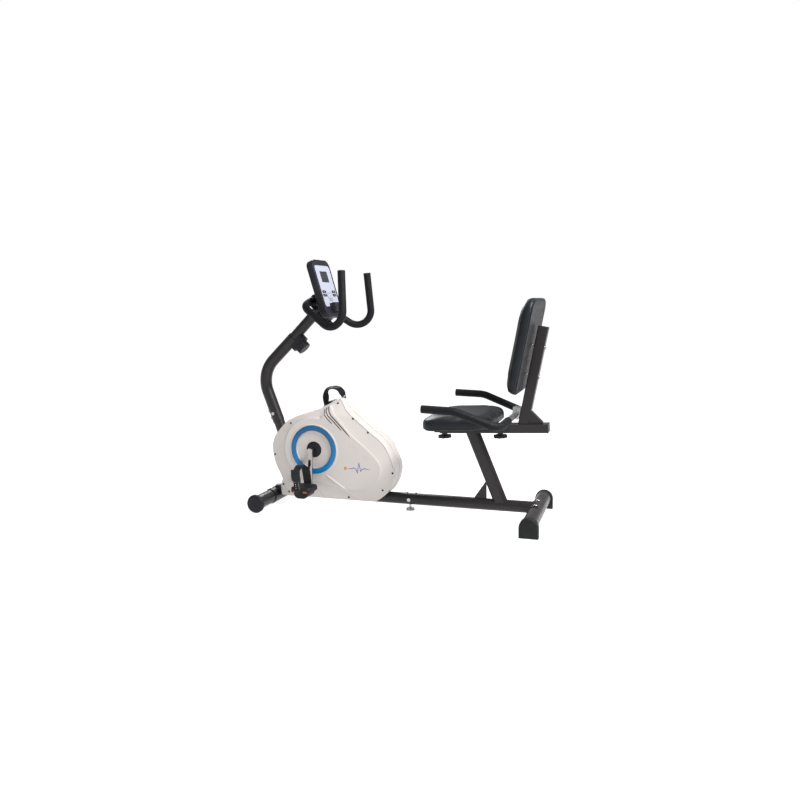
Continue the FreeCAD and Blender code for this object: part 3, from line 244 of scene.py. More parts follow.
# ---- materials
class Look:
    """A Principled material with a few procedural layers added to it."""

    def __init__(self, name, colour, rough, metal=0.0, coat=0.0, shine=0.5):
        self.material = bpy.data.materials.new(name)
        self.material.use_nodes = True
        self.tree = self.material.node_tree
        self.shader = self.tree.nodes["Principled BSDF"]
        for socket, value in (("Base Color", (*colour, 1.0)), ("Roughness", rough), ("Metallic", metal),
                              ("Coat Weight", coat), ("Specular IOR Level", shine)):
            self.shader.inputs[socket].default_value = value
        self.colour = colour
        self.where = self.node("ShaderNodeTexCoord").outputs["Object"]
        self.height = None

    def node(self, kind, **values):
        """A new node, with values for its sockets."""
        node = self.tree.nodes.new(kind)
        for socket, value in values.items():
            node.inputs[socket.replace("_", " ")].default_value = value
        return node

    def link(self, a, b):
        self.tree.links.new(a, b)

    def noise(self, scale, detail=3.0, stretch=None):
        texture = self.node("ShaderNodeTexNoise", Scale=scale, Detail=detail)
        source = self.where
        if stretch:
            mapping = self.node("ShaderNodeMapping", Scale=stretch)
            self.link(source, mapping.inputs["Vector"])
            source = mapping.outputs["Vector"]
        self.link(source, texture.inputs["Vector"])
        return texture.outputs["Fac"]

    def cells(self, scale, feature="DISTANCE_TO_EDGE"):
        texture = self.node("ShaderNodeTexVoronoi", Scale=scale)
        texture.feature = feature
        self.link(self.where, texture.inputs["Vector"])
        return texture.outputs["Distance"]

    def waves(self, scale, direction, distortion=0.0):
        texture = self.node("ShaderNodeTexWave", Scale=scale, Distortion=distortion)
        texture.wave_type = "BANDS"
        texture.bands_direction = direction
        self.link(self.where, texture.inputs["Vector"])
        return texture.outputs["Fac"]

    def ramp(self, source, low, high, to_low=0.0, to_high=1.0):
        stage = self.node("ShaderNodeMapRange", From_Min=low, From_Max=high, To_Min=to_low, To_Max=to_high)
        self.link(source, stage.inputs["Value"])
        return stage.outputs["Result"]

    def product(self, a, b):
        stage = self.node("ShaderNodeMath")
        stage.operation = "MULTIPLY"
        self.link(a, stage.inputs[0])
        self.link(b, stage.inputs[1])
        return stage.outputs["Value"]

    def tint(self, amount, other):
        """Mix another colour over the base by an amount that varies over the surface."""
        mix = self.node("ShaderNodeMix")
        mix.data_type = "RGBA"
        current = self.shader.inputs["Base Color"]
        if current.is_linked:
            self.link(current.links[0].from_socket, mix.inputs["A"])
        else:
            mix.inputs["A"].default_value = (*self.colour, 1.0)
        mix.inputs["B"].default_value = (*other, 1.0)
        self.link(amount, mix.inputs["Factor"])
        self.link(mix.outputs["Result"], current)
        return self

    def mottle(self, scale, amount, other, low=0.35, high=0.7):
        """Mix another colour in where soft noise lies between two levels."""
        return self.tint(self.ramp(self.noise(scale), low, high, 0.0, amount), other)

    def rough_between(self, low, high, scale, detail=3.0):
        """Let the roughness wander between two values."""
        self.link(self.ramp(self.noise(scale, detail), 0.3, 0.7, low, high), self.shader.inputs["Roughness"])
        return self

    def bump(self, source, strength, distance):
        bump = self.node("ShaderNodeBump", Strength=strength, Distance=distance)
        self.link(source, bump.inputs["Height"])
        if self.height:
            self.link(self.height, bump.inputs["Normal"])
        self.height = bump.outputs["Normal"]
        self.link(self.height, self.shader.inputs["Normal"])
        return self


def worn_edges(look, other, amount):
    """Lighter wear where the surface turns outward."""
    geometry = look.node("ShaderNodeNewGeometry")
    edge = look.ramp(geometry.outputs["Pointiness"], 0.52, 0.62, 0.0, amount)
    patchy = look.product(edge, look.ramp(look.noise(60.0, 4.0), 0.4, 0.65))
    return look.tint(patchy, other)


def frame_paint():
    look = Look("charcoal_paint", (0.015, 0.013, 0.014), 0.32, metal=0.1, coat=0.06, shine=0.3)
    look.tint(look.ramp(look.noise(2400.0, 1.0), 0.52, 0.75, 0.0, 0.3), (0.055, 0.050, 0.050))
    look.mottle(4.0, 0.35, (0.011, 0.008, 0.008))
    worn_edges(look, (0.07, 0.066, 0.064), 0.12)
    look.rough_between(0.28, 0.40, 35.0, 4.0)
    return look.bump(look.noise(420.0, 2.0), 0.05, 0.0006)


def cover_white():
    look = Look("gloss_white", (0.55, 0.51, 0.485), 0.30, coat=0.15, shine=0.3)
    look.mottle(3.0, 0.5, (0.52, 0.475, 0.445))
    look.tint(look.ramp(look.noise(900.0, 1.0), 0.66, 0.8, 0.0, 0.2), (0.42, 0.41, 0.40))
    look.rough_between(0.26, 0.38, 18.0, 4.0)
    return look.bump(look.noise(350.0, 2.0), 0.03, 0.0006)


def ring_blue():
    look = Look("gloss_blue", (0.004, 0.150, 0.36), 0.24, coat=0.12, shine=0.3)
    look.mottle(9.0, 0.4, (0.008, 0.19, 0.45))
    # Painted shade: the upper part of the trim is darkened and the lower part left lighter, as the light
    # falls on it.
    place = look.node("ShaderNodeSeparateXYZ")
    look.link(look.where, place.inputs[0])
    upper = look.ramp(place.outputs["Z"], 0.22, 0.36, 0.0, 0.8)
    look.tint(upper, (0.004, 0.070, 0.17))
    look.rough_between(0.16, 0.28, 40.0)
    return look.bump(look.noise(500.0, 2.0), 0.03, 0.0005)


def moulded(name, colour, rough=0.5, grain=1400.0, strength=0.25, metal=0.0):
    look = Look(name, colour, rough, metal, shine=0.22)
    lighter = tuple(min(1.0, c * 1.8 + 0.004) for c in colour)
    look.mottle(12.0, 0.4, lighter)
    worn_edges(look, tuple(min(1.0, c * 2.5 + 0.02) for c in colour), 0.35)
    look.rough_between(rough - 0.08, rough + 0.1, 60.0)
    return look.bump(look.cells(grain, "F1"), strength, 0.0003)


def foam():
    look = Look("grip_foam", (0.004, 0.004, 0.005), 0.56, shine=0.16)
    look.tint(look.ramp(look.cells(700.0, "F1"), 0.2, 0.7, 0.0, 0.6), (0.010, 0.010, 0.012))
    look.mottle(8.0, 0.4, (0.008, 0.009, 0.010), low=0.4)
    look.rough_between(0.5, 0.7, 90.0)
    look.bump(look.cells(900.0, "F1"), 0.5, 0.0005)
    return look.bump(look.noise(30.0, 3.0), 0.2, 0.002)


def vinyl():
    look = Look("grained_vinyl", (0.007, 0.009, 0.012), 0.46, shine=0.24)
    look.mottle(5.0, 0.6, (0.010, 0.014, 0.018))
    look.tint(look.ramp(look.cells(420.0), 0.0, 0.12, 0.5, 0.0), (0.005, 0.005, 0.007))
    worn_edges(look, (0.020, 0.021, 0.026), 0.25)
    look.rough_between(0.36, 0.5, 25.0, 4.0)
    look.bump(look.cells(420.0), 0.3, 0.0006)
    return look.bump(look.noise(14.0, 3.0), 0.12, 0.004)


def chrome():
    look = Look("polished_chrome", (0.40, 0.37, 0.37), 0.12, metal=1.0)
    # Painted reflection: brownish patches stand in for the surroundings mirrored in the chrome.
    look.mottle(20.0, 0.35, (0.22, 0.16, 0.145), low=0.4)
    look.rough_between(0.08, 0.2, 70.0, 4.0)
    return look.bump(look.noise(200.0, 2.0), 0.02, 0.0005)


def zinc():
    look = Look("zinc_steel", (0.46, 0.46, 0.47), 0.3, metal=0.95)
    look.tint(look.ramp(look.cells(300.0, "F1"), 0.2, 0.8, 0.0, 0.45), (0.34, 0.345, 0.35))
    worn_edges(look, (0.65, 0.65, 0.65), 0.4)
    look.rough_between(0.22, 0.4, 80.0, 4.0)
    return look.bump(look.noise(600.0, 2.0, (1, 8, 1)), 0.06, 0.0004)


def iron():
    look = Look("turned_iron", (0.22, 0.22, 0.225), 0.4, metal=0.9)
    look.mottle(30.0, 0.5, (0.12, 0.115, 0.11), low=0.4)
    look.rough_between(0.3, 0.5, 120.0, 4.0)
    return look.bump(look.waves(900.0, "X", 1.0), 0.1, 0.0003)


def rubber():
    look = Look("matt_rubber", (0.009, 0.010, 0.010), 0.6, shine=0.2)
    look.mottle(15.0, 0.5, (0.018, 0.019, 0.020))
    worn_edges(look, (0.045, 0.046, 0.046), 0.35)
    look.rough_between(0.5, 0.7, 70.0, 4.0)
    return look.bump(look.noise(700.0, 3.0), 0.22, 0.0005)


def plywood():
    look = Look("plywood", (0.42, 0.29, 0.16), 0.6)
    look.tint(look.ramp(look.noise(12.0, 5.0, (1, 14, 14)), 0.35, 0.7, 0.0, 0.8), (0.28, 0.18, 0.09))
    look.rough_between(0.5, 0.7, 50.0)
    return look.bump(look.noise(60.0, 4.0, (1, 14, 14)), 0.2, 0.0006)


def webbing():
    look = Look("woven_nylon", (0.003, 0.003, 0.004), 0.6, shine=0.15)
    weave = look.product(look.waves(260.0, "Z"), look.waves(260.0, "Y"))
    look.tint(look.ramp(weave, 0.2, 0.9, 0.0, 0.6), (0.009, 0.009, 0.010))
    look.rough_between(0.5, 0.68, 60.0)
    return look.bump(weave, 0.6, 0.0006)


def display_glass():
    look = Look("display_window", (0.024, 0.025, 0.028), 0.34, shine=0.22)
    look.mottle(10.0, 0.6, (0.034, 0.035, 0.038), low=0.3)
    look.rough_between(0.24, 0.36, 40.0)
    return look.bump(look.waves(1500.0, "Y"), 0.05, 0.0002)


def face_white():
    look = Look("satin_overlay", (0.33, 0.345, 0.41), 0.42, shine=0.25)
    look.mottle(7.0, 0.4, (0.31, 0.33, 0.40))
    look.rough_between(0.36, 0.5, 50.0)
    return look.bump(look.noise(1500.0, 2.0), 0.08, 0.0003)


def circuit():
    look = Look("circuit_board", (0.02, 0.12, 0.05), 0.4)
    look.tint(look.ramp(look.waves(300.0, "Z"), 0.75, 0.85, 0.0, 0.7), (0.35, 0.28, 0.09))
    look.rough_between(0.3, 0.5, 80.0)
    return look.bump(look.waves(300.0, "Z"), 0.2, 0.0003)


def flat_ink(name, colour, rough=0.4):
    """Printed marks and small plain plastics."""
    look = Look(name, colour, rough, shine=0.25)
    look.mottle(200.0, 0.3, tuple(min(1.0, c * 1.5 + 0.005) for c in colour), low=0.4)
    look.rough_between(rough - 0.06, rough + 0.08, 90.0)
    return look.bump(look.noise(800.0), 0.05, 0.0002)


LOOKS = {
    "frame_paint": frame_paint(),
    "cover_white": cover_white(),
    "ring_blue": ring_blue(),
    "black_plastic": moulded("black_plastic", (0.008, 0.008, 0.010)),
    "grey_plastic": moulded("grey_plastic", (0.010, 0.0095, 0.014)),
    "foam": foam(),
    "vinyl": vinyl(),
    "chrome": chrome(),
    "steel": zinc(),
    "iron": iron(),
    "rubber": rubber(),
    "board": plywood(),
    "webbing": webbing(),
    "display": display_glass(),
    "face_white": face_white(),
    "circuit": circuit(),
}
MATERIALS = {slot: look.material for slot, look in LOOKS.items()}
PRINT_DARK = flat_ink("print_dark", (0.010, 0.010, 0.014)).material
PRINT_BLUE = flat_ink("print_blue", (0.03, 0.06, 0.28)).material
PRINT_ORANGE = flat_ink("print_orange", (0.66, 0.22, 0.04)).material
PRINT_LIGHT = flat_ink("print_light", (0.45, 0.47, 0.55)).material
# Dark ink for the LCD digits, also used for the painted shadow bars on the display.
LCD_INK_AND_SHADE = flat_ink("lcd_segments_and_shade", (0.012, 0.013, 0.013), 0.3).material
AMBER = flat_ink("amber_reflector", (0.28, 0.065, 0.012), 0.25).material
SEAM_DARK = flat_ink("seam_shadow", (0.10, 0.095, 0.09), 0.6).material
PEDAL_BLACK = moulded("pedal_black", (0.011, 0.014, 0.014), 0.5, 900.0, 0.3).material
BRASS = moulded("brass_bolt", (0.30, 0.20, 0.07), 0.3, 800.0, 0.1, metal=0.9).material


def dress_cad_nodes():
    for name, node in frame["nodes"].items():
        node.data.materials.clear()
        node.data.materials.append(MATERIALS[SLOT_OF[name]])


# ---- drive covers
COVER_EDGE = [
    (60, 54), (57, 95), (67, 132), (51, 166), (33, 207), (23, 260), (25, 303), (46, 346), (97, 400),
    (136, 422), (178, 439), (222, 451), (264, 464), (306, 486), (340, 504), (368, 517), (382, 507),
    (405, 469), (442, 436), (522, 369), (565, 336), (592, 304), (612, 261), (629, 210), (623, 158),
    (600, 109), (569, 76), (535, 54),
]
COVER_CORNERS = {0, 2, 12, 15, 27}
COVER_LOW_EDGE = 27
COVER_FLAT_Y = 57.4
COVER_PANEL_Y = 69.6
PANEL_ROUND = 146.0
PANEL_EDGE = [
    (281, 423), (304, 449), (325, 484), (344, 450), (374, 416), (416, 366), (442, 342), (480, 311),
    (514, 282), (540, 256), (559, 232), (565, 206), (561, 176), (545, 150), (514, 127), (470, 109),
    (425, 104), (380, 110), (330, 118), (285, 127),
]
RING_INNER = 88.0
RING_OUTER = 111.7
EDGE_RADIUS = 6.0
EDGE_DEPTHS = [0.0, 0.12, 0.45, 1.0, 1.8, 2.8, 4.0, 5.4, 7.0, 9.0, 12.0]
COVER_RINGS, QUICK_COVER_RINGS = 88, 36
COVER_WALL = 2.2
PANEL_STEP = 1.5
PANEL_STEP_WIDTH = 4.0
HOLLOW_CURVE = 0.85
LIP_HEIGHT, LIP_GAP, LIP_WIDTH = 2.6, 3.6, 2.9
NECK_FROM, NECK_SPAN, NECK_DEPTH = 440.0, 80.0, 24.0
FAR = 1e9
CRANK_AT = (241.5, 280.8)
RIDGES = [((298, 167), (459, 61), 3.6, 3.0), ((235, 120), (294, 60), 1.6, 2.6)]


def cover_outline(count):
    """Evenly spaced points round the cover, smooth between the outline's sharp corners."""
    points = [Vector((x, z, 0)) for x, z in COVER_EDGE]
    total = len(points)
    dense = []
    for i in range(total):
        p1, p2 = points[i], points[(i + 1) % total]
        p0 = p1 if i in COVER_CORNERS else points[i - 1]
        p3 = p2 if (i + 1) % total in COVER_CORNERS else points[(i + 2) % total]
        for t in (step / 24 for step in range(24)):
            straight = i == COVER_LOW_EDGE
            dense.append(p1.lerp(p2, t) if straight else spline_point(p0, p1, p2, p3, t))
    loop = np.array([(p.x, p.y) for p in dense])
    gaps = np.linalg.norm(np.roll(loop, -1, axis=0) - loop, axis=1)
    reach = np.concatenate(([0.0], np.cumsum(gaps)))
    wanted = reach[-1] * np.arange(count) / count
    closed = np.vstack((loop, loop[:1]))
    return np.stack((np.interp(wanted, reach, closed[:, 0]), np.interp(wanted, reach, closed[:, 1])), axis=1)


OUTLINE = cover_outline(480)


def segment_gap(spots, start, stop):
    """Distance from each spot to a line segment, and how far along it the nearest point is."""
    along = stop - start
    t = np.clip(((spots - start) @ along) / (along @ along), 0.0, 1.0)
    return np.linalg.norm(spots - start - t[:, None] * along, axis=1), t


def outline_gap(spots, outline):
    """Distance from each spot to a closed outline."""
    best = np.full(len(spots), FAR)
    for start, stop in zip(outline, np.roll(outline, -1, axis=0)):
        best = np.minimum(best, segment_gap(spots, start, stop)[0])
    return best


def panel_outline():
    """The raised panel's edge: part of a circle round the crank, then a long rounded tail behind it."""
    points = []
    for degrees in range(262, 80, -12):
        a = math.radians(degrees)
        points.append((CRANK_AT[0] + PANEL_ROUND * math.cos(a), CRANK_AT[1] + PANEL_ROUND * math.sin(a)))
    return np.array(smooth_outline(points + PANEL_EDGE, 6, closed=True))


PANEL = panel_outline()


def panel_gap(spots):
    """Distance from each spot to the raised panel, nought inside it."""
    inside = np.zeros(len(spots), dtype=bool)
    for start, stop in zip(PANEL, np.roll(PANEL, -1, axis=0)):
        spans = (start[1] > spots[:, 1]) != (stop[1] > spots[:, 1])
        if start[1] != stop[1]:
            crossing = start[0] + (spots[:, 1] - start[1]) * (stop[0] - start[0]) / (stop[1] - start[1])
            inside ^= spans & (spots[:, 0] < crossing)
    return np.where(inside, 0.0, outline_gap(spots, PANEL))


def ease(t):
    """Nought to one with a soft start and a soft end."""
    t = np.clip(t, 0.0, 1.0)
    return t * t * (3 - 2 * t)


def cover_height(spots, gaps):
    """How far the cover's side stands out from the middle plane at each place on it."""
    outside = panel_gap(spots)
    fall = outside / (outside + np.maximum(0.0, gaps - EDGE_RADIUS) + 1e-3)
    height = COVER_PANEL_Y - PANEL_STEP * ease(outside / PANEL_STEP_WIDTH)
    height -= (COVER_PANEL_Y - PANEL_STEP - COVER_FLAT_Y) * fall ** HOLLOW_CURVE
    from_crank = np.hypot(spots[:, 0] - CRANK_AT[0], spots[:, 1] - CRANK_AT[1])
    height += LIP_HEIGHT * np.exp(-((from_crank - RING_OUTER - LIP_GAP) / LIP_WIDTH) ** 2)
    for start, stop, lift, width in RIDGES:
        gap, t = segment_gap(spots, np.array(start, float), np.array(stop, float))
        height += lift * np.exp(-(gap / width) ** 2) * ease(t * 10) * ease((1 - t) * 7)
    height -= NECK_DEPTH * np.clip((spots[:, 1] - NECK_FROM) / NECK_SPAN, 0.0, 1.0)
    inner = np.clip(EDGE_RADIUS - gaps, 0.0, EDGE_RADIUS)
    return height - EDGE_RADIUS + np.sqrt(EDGE_RADIUS ** 2 - inner ** 2)


def make_cover(name, side):
    """One half of the drive cover: a wall round the edge and a shaped face with a round hole."""
    across = COVER_RINGS
    centre = np.array(CRANK_AT)
    toward = centre - OUTLINE
    toward = toward / np.linalg.norm(toward, axis=1)[:, None]
    hole = centre - toward * RING_INNER
    rings = [OUTLINE + toward * depth for depth in EDGE_DEPTHS]
    inner_edge = rings[-1]
    for step in range(1, across + 1):
        rings.append(inner_edge + (hole - inner_edge) * step / across)
    spots = np.vstack(rings)
    gaps = outline_gap(spots, OUTLINE)
    gaps[:len(OUTLINE)] = 0.0
    heights = cover_height(spots, gaps).reshape(len(rings), -1)
    rows = [(OUTLINE, heights[0] * part) for part in (0.0, 0.25, 0.5, 0.75)]
    rows += [(ring, height) for ring, height in zip(rings, heights)]
    rows += [(hole, np.full(len(hole), COVER_PANEL_Y - depth)) for depth in (4.0, 8.0)]
    verts = [at(x, side * y, z) for ring, height in rows for (x, z), y in zip(ring, height)]
    faces = grid_faces(len(rows), len(OUTLINE), True)
    if side < 0:
        faces = [face[::-1] for face in faces]
    return mesh_piece(name, verts, faces)


def on_cover(points, side, lifts):
    """Places on the cover's surface, lifted off it a little."""
    spots = np.array(points, dtype=float)
    heights = cover_height(spots, outline_gap(spots, OUTLINE))
    return [at(x, side * (y + lift), z) for (x, z), y, lift in zip(spots, heights, lifts)]


def surface_band(name, line, width, side, lift):
    """A thin band that lies on the cover along a line and narrows at its ends."""
    points = []
    count = len(line)
    for i, p in enumerate(line):
        before = line[max(i - 1, 0)]
        after = line[min(i + 1, count - 1)]
        along = Vector((after[0] - before[0], after[1] - before[1])).normalized()
        taper = min(1.0, 0.35 + 0.65 * min(i, count - 1 - i) / 3)
        for offset in (-0.5, -0.42, 0.42, 0.5):
            points.append((p[0] - along.y * width * offset * taper, p[1] + along.x * width * offset * taper))
    verts = on_cover(points, side, [-0.6, lift, lift, -0.6] * count)
    return weld(mesh_piece(name, verts, strip_faces(count)))


# A screw head's cross recess and dome, as shares of its radius, and how deep its rim is sunk.
CROSS_WIDTH, CROSS_REACH, CROSS_DEPTH, SCREW_DOME = 0.13, 0.62, 0.28, 0.35
SCREW_SUNK = 1.5


def screw_head(place, axis, radius):
    """A domed screw head with a cross recess, as one grid of rings."""
    axis, u, w = axis_frame(axis)
    rings, steps = 14, 48
    verts = [place - axis * SCREW_SUNK * MM + (u * math.cos(a) + w * math.sin(a)) * radius * MM
             for a in turn_angles(steps)]
    for i in range(rings, 0, -1):
        r = radius * i / rings
        for a in turn_angles(steps):
            p, q = r * math.cos(a), r * math.sin(a)
            rise = SCREW_DOME * radius * (1 - (r / radius) ** 2) + 0.25
            if min(abs(p), abs(q)) < CROSS_WIDTH * radius and r < CROSS_REACH * radius:
                rise -= CROSS_DEPTH * radius
            verts.append(place + (u * p + w * q) * MM + axis * rise * MM)
    return mesh_piece("screw", verts, ring_faces(rings + 1, steps))


SCREW_RADIUS = 4.8
SCREW_SPOTS = [(127, 398), (36, 247), (73, 106), (101, 72), (405, 66), (571, 109), (619, 189), (507, 368),
               (437, 428), (360, 494)]
STRIPES = [
    ([(297, 471), (300, 452), (309, 434), (326, 416), (338, 404)], 4.0),
    ([(307, 476), (311, 455), (322, 437), (350, 410), (384, 374)], 4.6),
    ([(321, 485), (323, 461), (334, 442), (372, 402), (424, 346)], 5.2),
]
PULSE = [(410, 202), (432, 202), (438, 208), (444, 202), (449, 202), (455, 182), (464, 232), (472, 190),
         (477, 202), (486, 202), (492, 208), (498, 202), (516, 202)]
STRIPE_LIFT, VENT_LIFT, SEAM_LIFT, PULSE_LIFT = 0.35, 0.15, 0.12, 0.3
VENT_WIDTH, SEAM_WIDTH, PULSE_WIDTH = 1.7, 1.5, 2.6
VENT_AT, VENTS = (100, 124), 5
SEAM_INSET = (4.4, 5.2)
DOT_AT = (398, 202)
DOT_PROFILE = [(-0.5, 0.0), (-0.5, 7.5), (0.35, 7.5), (0.5, 6.9), (0.5, 0.0)]


def make_stripes(side, end):
    for i, (points, width) in enumerate(STRIPES):
        band = surface_band(f"cover_stripe_{end}_{i}", smooth_outline(points, 7), width, side, STRIPE_LIFT)
        dress(band, "black_plastic", "root", material=PRINT_DARK)


def make_vents(side, end):
    for i in range(VENTS):
        x, z = VENT_AT[0] + 2.0 * i, VENT_AT[1] + 6.4 * i
        line = [(x + 3.5 * k, z - 0.15 * k) for k in range(12)]
        vent = surface_band(f"cover_vent_{end}_{i}", line, VENT_WIDTH, side, VENT_LIFT)
        dress(vent, "cover_white", "root", material=SEAM_DARK)


def make_seam(side, end):
    """The line where the rear housing's edge meets the cover's side."""
    edge = smooth_outline(COVER_EDGE[15:24], 8)
    line = [(x - SEAM_INSET[0], z - SEAM_INSET[1]) for x, z in edge]
    seam = surface_band(f"cover_seam_{end}", line, SEAM_WIDTH, side, SEAM_LIFT)
    dress(seam, "cover_white", "root", material=SEAM_DARK)


def make_pulse(side, end):
    """A plain pulse line with a round dot before it."""
    line = []
    for start, stop in zip(PULSE, PULSE[1:]):
        for k in range(4):
            line.append((start[0] + (stop[0] - start[0]) * k / 4, start[1] + (stop[1] - start[1]) * k / 4))
    line.append(PULSE[-1])
    pulse = surface_band(f"pulse_line_{end}", line, PULSE_WIDTH, side, PULSE_LIFT)
    dress(pulse, "ring_blue", "root", material=PRINT_BLUE)
    dot = turned(f"pulse_dot_{end}", DOT_PROFILE, on_cover([DOT_AT], side, [0.0])[0], (0, side, 0), 40)
    dress(dot, "ring_blue", "root", material=PRINT_ORANGE)


def make_covers():
    screws = []
    for side, end in ((-1, "left"), (1, "right")):
        cover = make_cover(f"cover_shell_{end}", side)
        thickened(cover, COVER_WALL, -1.0)
        dress(cover, "cover_white", "root", end + "_cover")
        make_stripes(side, end)
        make_vents(side, end)
        make_seam(side, end)
        make_pulse(side, end)
        for place in on_cover(SCREW_SPOTS, side, [0.2] * len(SCREW_SPOTS)):
            screws.append(screw_head(place, (0, side, 0), SCREW_RADIUS))
    heads = joined("cover_screw_heads", screws)
    dress(heads, "black_plastic", "root", "cover_screws")


RING_Y = 70
RING_RISE = 4.0
RING_STEPS = 24


def make_rings():
    """The two blue trims round the crank: domed, and turned down at both edges."""
    profile = [(-RING_RISE, RING_INNER)]
    for i in range(RING_STEPS + 1):
        t = i / RING_STEPS
        rise = RING_RISE * math.sin(math.pi * (0.12 + 0.76 * t)) ** 0.6
        profile.append((rise, RING_INNER + (RING_OUTER - RING_INNER) * t))
    profile.append((-RING_RISE, RING_OUTER))
    rings = []
    for side in (-1, 1):
        centre = at(CRANK_AT[0], side * RING_Y, CRANK_AT[1])
        rings.append(turned("ring", profile, centre, (0, side, 0), 144, capped=False))
    dress(joined("ring_trim_pair", rings), "ring_blue", "root", "ring_trims")


# ---- cushions
# How far each board's outer face stands from the line that its cushion is drawn from.
SEAT_BOARD, BACK_BOARD = 36.0, 33.5


def leaned(degrees, x, z, lx, ly, lz):
    """A point drawn in a frame that leans about Y and stands at (x, z)."""
    a = math.radians(degrees)
    return at(x + lx * math.cos(a) + lz * math.sin(a), ly, z - lx * math.sin(a) + lz * math.cos(a))


def seat_place(x, y, z):
    return leaned(-2.25, 973.0, 378.3, x, y, SEAT_BOARD + z)


def back_place(x, y, z):
    """The backrest lies against its plate, and its top thins as it rolls back."""
    thin = 1.0 - 0.16 * float(ease((x - 455.0) / 75.0)) - 0.06 * float(ease((160.0 - x) / 40.0))
    return leaned(11.4, 1190.5, 423.0, -BACK_BOARD - z * thin, y, x)


# A cushion's plan from its low to its high end and half its width, and its corner, depth and crown.
Pad = namedtuple("Pad", "low high half corner thick crown", defaults=(0,))
SEAT_PAD = Pad(-184, 113, 197, 72, 61, 7)
BACK_PAD = Pad(130, 524, 190, 62, 50, 5)
SEAT_PLATE = Pad(-176, 105, 187, 64, 0.5)
BACK_PLATE = Pad(138, 516, 182, 54, 1.0)
ROUND_OVER = 24
CROWN_ROWS = 8
VOXEL, QUICK_VOXEL = 5.0, 9.0
CLOTH_STEPS = 16
CLOTH = {
    "quality": 4, "mass": 0.3, "tension_stiffness": 14, "compression_stiffness": 14,
    "bending_stiffness": 12.0, "use_pressure": True, "uniform_pressure_force": 4.0, "pin_stiffness": 1.0,
}
HELD_BASE, HELD_SHARE, HELD_SIDES = 5, 0.45, 0.35
SWELL_CAP = 22.0
TOP_GIVE = 3.0


def rounded_plan(pad, steps):
    """Points round a rectangle with round corners."""
    line = []
    right, left = pad.half - pad.corner, pad.corner - pad.half
    front, rear = pad.low + pad.corner, pad.high - pad.corner
    for cx, cy, start in ((rear, right, 0), (front, right, 90), (front, left, 180), (rear, left, 270)):
        for k in range(steps + 1):
            a = math.radians(start + 90 * k / steps)
            line.append(Vector((cx + pad.corner * math.cos(a), cy + pad.corner * math.sin(a))))
    return line


def plan_at(line, inset, pad):
    """The same outline drawn in towards its centre line by some millimetres."""
    centre_x, reach = (pad.low + pad.high) / 2, (pad.high - pad.low) / 2
    sx = (reach - inset) / reach
    sy = (pad.half - inset) / pad.half
    return [Vector((centre_x + (p.x - centre_x) * sx, p.y * sy)) for p in line]


def cushion_levels(pad):
    """Heights and insets from the underside, up the side band, over the edge and across the crown."""
    rim = pad.thick - pad.crown
    levels = [(0.0, 3.0), (2.0, 0.8), (5.0, 0.0), (rim - ROUND_OVER, 0.0)]
    for k in range(1, 7):
        a = math.radians(15 * k)
        levels.append((rim - ROUND_OVER * (1 - math.sin(a)), ROUND_OVER * (1 - math.cos(a))))
    reach = min((pad.high - pad.low) / 2, pad.half)
    for k in range(1, CROWN_ROWS + 1):
        swell = pad.crown * (1 - (1 - k / CROWN_ROWS) ** 2)
        levels.append((rim + swell, ROUND_OVER + (reach - ROUND_OVER - 2.0) * k / CROWN_ROWS))
    return levels


def cushion_block(name, pad):
    """A closed block with an even mesh, ready to be stuffed."""
    plan = rounded_plan(pad, 10)
    levels = cushion_levels(pad)
    verts = [Vector((p.x, p.y, height)) * MM for height, inset in levels for p in plan_at(plan, inset, pad)]
    block = weld(mesh_piece(name, verts, ring_faces(len(levels), len(plan))))
    remesh = block.modifiers.new("remesh", "REMESH")
    remesh.mode = "VOXEL"
    remesh.voxel_size = VOXEL * MM
    return apply_modifiers(block)


def stuff(block, pad):
    """Air pressure fills the cushion out while its underside stays on its board."""
    start = [v.co.copy() for v in block.data.vertices]
    held = block.vertex_groups.new(name="held")
    for i, co in enumerate(start):
        if co.z < HELD_SHARE * pad.thick * MM:
            held.add([i], 1.0 if co.z < HELD_BASE * MM else HELD_SIDES, "REPLACE")
    cloth = block.modifiers.new("cloth", "CLOTH")
    for setting, value in CLOTH.items():
        setattr(cloth.settings, setting, value)
    cloth.settings.vertex_group_mass = "held"
    cloth.settings.effector_weights.gravity = 0.0
    cloth.collision_settings.use_self_collision = False
    cloth.point_cache.frame_start = 1
    cloth.point_cache.frame_end = CLOTH_STEPS
    for step in range(1, CLOTH_STEPS + 1):
        bpy.context.scene.frame_set(step)
    apply_modifiers(block)
    bpy.context.scene.frame_set(1)
    cap = SWELL_CAP * MM
    for vertex, before in zip(block.data.vertices, start):
        move = vertex.co - before
        if before.z < HELD_BASE * MM:
            vertex.co = before
        elif move.length > cap:
            vertex.co = before + move * (cap / move.length)


def make_cushion(name, node, place, pad):
    """A stuffed cushion with an eased top, smoothed and set in its place."""
    block = cushion_block(name, pad)
    stuff(block, pad)
    smooth = block.modifiers.new("smooth", "CORRECTIVE_SMOOTH")
    smooth.factor = 0.5
    smooth.iterations = 14
    smooth.use_only_smooth = True
    divide = block.modifiers.new("divide", "SUBSURF")
    divide.levels = 1
    apply_modifiers(block)
    limit = pad.thick - TOP_GIVE
    for vertex in block.data.vertices:
        x, y, z = vertex.co / MM
        if z > limit:
            z = limit + TOP_GIVE * (1 - math.exp(-(z - limit) / TOP_GIVE))
        vertex.co = place(x, y, z)
    block.data.update()
    dress(block, "vinyl", "seat", node)
    return block


